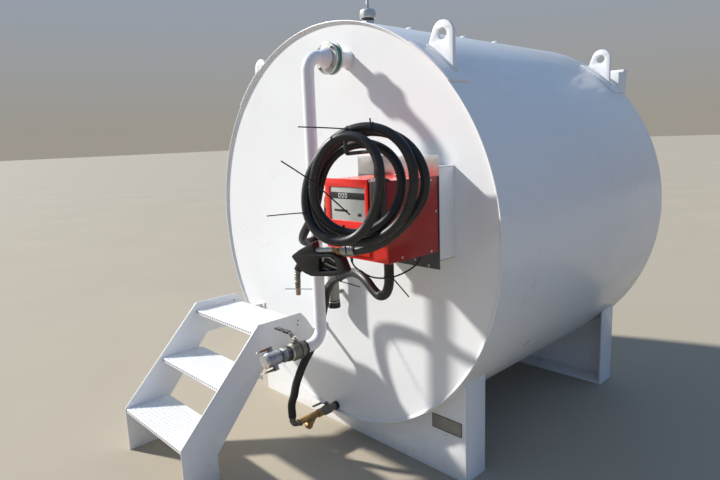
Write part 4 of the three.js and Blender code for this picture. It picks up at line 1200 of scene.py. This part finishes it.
# %% Holster
HOLSTER_DEPTH = 42
low, high = box_mm("nozzle_holster")
wall, seat = CABINET_FRONT - 0.3, CABINET_TOP + 0.3
front = wall - HOLSTER_DEPTH
boot = rounded([(low.x, wall), (low.x + 44, front), (high.x, front), (high.x, wall)], 18, False, 8)
holster = Form().plate(boot, seat + 4 - low.z, Matrix.Translation((0, 0, low.z)), edge=5)
hood = [(front + 76 * k / 16, seat - 1 + 13.5 * math.sin(math.pi * k / 16)) for k in range(17)]
holster.plate(hood, 51, upright_side((752, 0, 0)), edge=2.5)
piece("nozzle_holster_moulded", holster, [plastic], "nozzle_holster")

# %% Pump body and outlet
low, high = box_mm("pump_body")
pump = Form().block((low.x + 4, high.y - 240, 1230), (high.x, high.y, 1440), edge=7)
pump.turned([(0, 0), (44, 0), (45.8, 4), (45.8, 32), (0, 32)],
            toward(Y, (CABINET_LEFT - 46, low.y, 1300)), sides=40, soft=2)
pump.block((CABINET_LEFT - 96, high.y - 222, 1378), (CABINET_LEFT - 80, high.y - 178, 1422), edge=3)
piece("pump_body_cast", pump, [iron], "pump_body")

low, high = box_mm("pump_outlet")
root = Vector((high.x, OUTLET_MOUTH.y, OUTLET_MOUTH.z + 60))
mouth = Vector((OUTLET_MOUTH.x, OUTLET_MOUTH.y, low.z))
outlet = Form().tube(bent([root, (mouth.x, mouth.y, root.z), mouth], 26), 15, sides=28)
outlet.prism(30, 0, 18, toward(-X, root)).prism(30, 0, 18, toward(Z, mouth))
piece("pump_outlet_elbow", outlet, [brass], "pump_outlet")
print("pump unit")

# %% [markdown]
# ## Hook
# A bent steel rod stands on the cabinet and reaches out under the top of the coil. It is a tube along a
# path, because bar keeps its thickness round a bend. Its height is worked out from the coil's inner radius,
# so the coil rests on it.

# %% Hook
COIL_INNER, COIL_FACETS = 130, 48
HOOK_RADIUS = 7
facet = 1.5 * 2 * math.pi / COIL_FACETS
seat = COIL_INNER * math.cos(math.pi / COIL_FACETS) - HOOK_RADIUS - 0.3
corner, hook_end = (coil_point(-seat * math.sin(facet), seat * math.cos(facet), out) for out in (643, 940))
hook_foot = Vector((corner.x, corner.y, CABINET_TOP))
hook = Form().tube(bent([hook_foot, corner, hook_end, hook_end + Z * 44], 17), HOOK_RADIUS - 0.2, sides=20)
hook.block(hook_foot + Vector((-26, -20, 0.3)), hook_foot + Vector((26, 20, 4.3)), edge=1)
piece("hose_hook_bent", hook, [iron], "hose_hook")

# %% [markdown]
# ## Nozzle
# The nozzle hangs by its hose below the coil. It is modelled lying along X from its heel, as it would lie
# on a bench, and one matrix turns it into place. Its cover is a soft-edged plate cut from one outline with
# the trigger's opening, and the metal parts are turned or follow a path.

# %% Nozzle
NOZZLE_OUTLINE = [(-264, -6), (-221, 18), (-163, 40), (-145, 46), (-146, 6), (-128, -3), (-62, -6),
                  (-46, -14), (-24, -28), (-8, -82), (-45, -94), (-91, -97), (-178, -94), (-207, -81),
                  (-222, -71), (-239, -43)]
GUARD_OUTLINE = [(-137, -74), (-50, -76), (-60, -19), (-127, -16)]
nozzle_place = (Matrix.Translation(NOZZLE_HEEL) @ Matrix.Rotation(NOZZLE_TURN, 4, "Z")
                @ Matrix.Rotation(-NOZZLE_TILT, 4, "Y"))


def across(y):
    """Lays an outline upright along the nozzle at a distance from its middle."""
    return nozzle_place @ upright_front((0, y, 0))


def along_barrel(z=0):
    """Local Z runs from the heel towards the spout, at a height above the heel's axis."""
    return nozzle_place @ toward(-X, (0, 0, z))


cover = rounded(NOZZLE_OUTLINE, 9)
nozzle = Form().plate(cover, 34, across(-22), holes=[rounded(GUARD_OUTLINE, 9)], edge=6)
nozzle.plate(inset(cover, 3), 16, across(5), edge=4)
nozzle.tube([(-232, 0, -42), (-252, 0, -69)], 17, nozzle_place, sides=28)
piece("nozzle_body_cover", nozzle, [plastic], "nozzle_body")
barrel = Form().turned([(0, 66), (12, 66), (13, 70), (13, 160), (0, 160)], along_barrel(9), sides=32)
barrel.prism(27, 44, 66, along_barrel(3), 1, soft=1.5)
piece("nozzle_barrel", barrel, [aluminium, brass])
place = along_barrel()
swivel = Form()
for z, reach in ((30, 15), (34, 17.5), (38, 15), (41, 17.5), (45, 14)):
    swivel.disc(reach, z, z + 4, place, sides=32)
swivel.turned([(0, -30), (19.5, -30), (20.5, -26), (20.5, 20), (17, 30), (0, 30)], place, 1, 32)
for z in range(-24, 20, 8):
    swivel.collar(20, 21.4, z, z + 4, place, 1, 32, 0.5, slope=0.6)
nozzle_swivel = piece("nozzle_swivel_crimp", swivel, [brass, steel])

trigger = Form().tube(smooth_run([(-125, 0, -26), (-106, 0, -20), (-86, 0, -25), (-67, 0, -42)], 4), 5,
                      nozzle_place, sides=12, flat=1.6)
trigger.plate([(-127.5, -18), (-108, -20), (-120, -42)], 12, across(-8), edge=1.2)
trigger.tube(smooth_run([(-112, 0, -46), (-84, 0, -60), (-54, 0, -71)], 6), 4.5, nozzle_place, sides=12,
             flat=1.6)
trigger.tube(smooth_run([(-131, 0, -66), (-116, 0, -68), (-100, 0, -75)], 6), 2.5, nozzle_place, sides=10)
piece("nozzle_trigger_bent", trigger, [steel], "nozzle_trigger")

# %% Spout
SPOUT_RADIUS = 10.4
SPOUT_DOWN = Vector((-math.sin(NOZZLE_TILT), 0, -math.cos(NOZZLE_TILT)))
SPOUT_TURN = Vector((-258, 0, -80))
spout_path = even(bent([(-222, 0, -31), SPOUT_TURN, SPOUT_TURN + SPOUT_DOWN * 96], 60), 2.5)
spout = Form().tube(spout_path, SPOUT_RADIUS, nozzle_place, sides=28)
ribbed = [p for p in spout_path if -124 < p.z < -62]
ribs = [12.4 + 1.5 * math.sin(i * math.pi / 2.2) for i in range(len(ribbed))]
spout.tube(ribbed, ribs, nozzle_place, 1, 28)
for here, on in list(zip(ribbed, ribbed[1:]))[3::4]:
    spout.collar(11, 13.6, -1.4, 1.4, nozzle_place @ toward(on - here, here), 2, 28, 0.6)
for z in (-126, -133, -141):
    ring = Vector((SPOUT_TURN.x + (z - SPOUT_TURN.z) * math.tan(NOZZLE_TILT), 0, z))
    spout.collar(10, 11.8, -2, 2, nozzle_place @ toward(SPOUT_DOWN, ring), 2, 28, 0.8)
piece("nozzle_spout_ribbed", spout, [spout_tone, spout_wrap, spout_ring], "nozzle_spout")
print("nozzle")

# %% [markdown]
# ## Cable ties
# Plastic ties keep the turns of the hose together, and nobody has cut their tails, which stick out like
# whiskers. A tie is a flat ring round the hose, a small square head and a long strip. Its ring is put at
# the point of the hose nearest to a chosen place, so it always sits on the hose. Where the thin cable
# enters the cabinet, two small turned sleeves keep it from kinking.

# %% Cable ties
HOSE_TIES = [((790, -753, 1677), (675, -869, 1690)), ((870, -710, 1683), (867, -706, 1710)),
             ((700, -835, 1493), (613, -905, 1574)), ((690, -800, 1478), (772, -729, 1371)),
             ((658, -845, 1384), (563, -946, 1378)), ((762, -734, 1378), (775, -759, 1232))]
SUCTION_TIES = [((103, -304, 891), (-39, -451, 899)), ((259, -330, 963), (326, -268, 931)),
                ((698, -430, 1065), (752, -394, 985))]


def cable_ties(path, radius, ties):
    """Straps round a hose, each with its head and its uncut tail."""
    form = Form()
    for near, tip in ties:
        near, tip = Vector(near), Vector(tip)
        i = min(range(1, len(path) - 1), key=lambda k: (path[k] - near).length)
        along = (path[i + 1] - path[i - 1]).normalized()
        form.collar(radius - 0.5, radius + 1.8, -3, 3, toward(along, path[i]), sides=28, soft=0.5)
        out = near - path[i]
        out = (out - along * out.dot(along)).normalized()
        head = path[i] + out * (radius + 3)
        form.block((-4, -4, -4), (4, 4, 4), toward(out, head))
        bow = head.lerp(tip, 0.5) + Z * (tip - head).length * 0.005
        form.tube(smooth_run([head, bow, tip], 12), 2.7, sides=8, flat=0.7)
    return form


tie_piece = piece("hose_cable_ties", cable_ties(hose_path, HOSE_DIAMETER / 2, HOSE_TIES), [plastic])
piece("suction_cable_ties", cable_ties(suction_path, SUCTION_RADIUS, SUCTION_TIES), [plastic])

# %% Strain reliefs
reliefs = Form()
for (x, y, z), tall in ((CABLE_STOPS[0], 28), (CABLE_STOPS[-1], 22)):
    reliefs.turned([(0, 0), (9, 0), (9, 4), (6.5, 6), (4.6, tall), (0, tall)],
                   toward(-Z, (x, PLATE_Y + y, CABINET_BOTTOM + z)), sides=24, soft=0.8)
piece("cable_strain_reliefs", reliefs, [plastic])

# %% [markdown]
# ## Cords
# A hose that hangs free could be declared as a cord, with its exit, length and route, so that it could later
# be laid in another way, and the swivel and the ties would go with it. This script declares none.

print("no cords declared")

# %% [markdown]
# ## Floor
# A plain pale floor catches the shadow that seats the tank. It is staged, so it isn't part of the object.

# %% Floor
floor_finish = Finish("floor", (0.36, 0.315, 0.245), 0.9).patches(0.03, 0.7)
floor_mesh = bpy.data.meshes.new("floor")
FLOOR_REACH = 120
floor_mesh.from_pydata([(x, y, 0) for x, y in ((-1, -1), (1, -1), (1, 1), (-1, 1))], [], [(0, 1, 2, 3)])
floor_mesh.transform(Matrix.Scale(FLOOR_REACH, 4))
floor_mesh.materials.append(floor_finish.material)
floor = bpy.data.objects.new("floor", floor_mesh)
bpy.context.scene.collection.objects.link(floor)
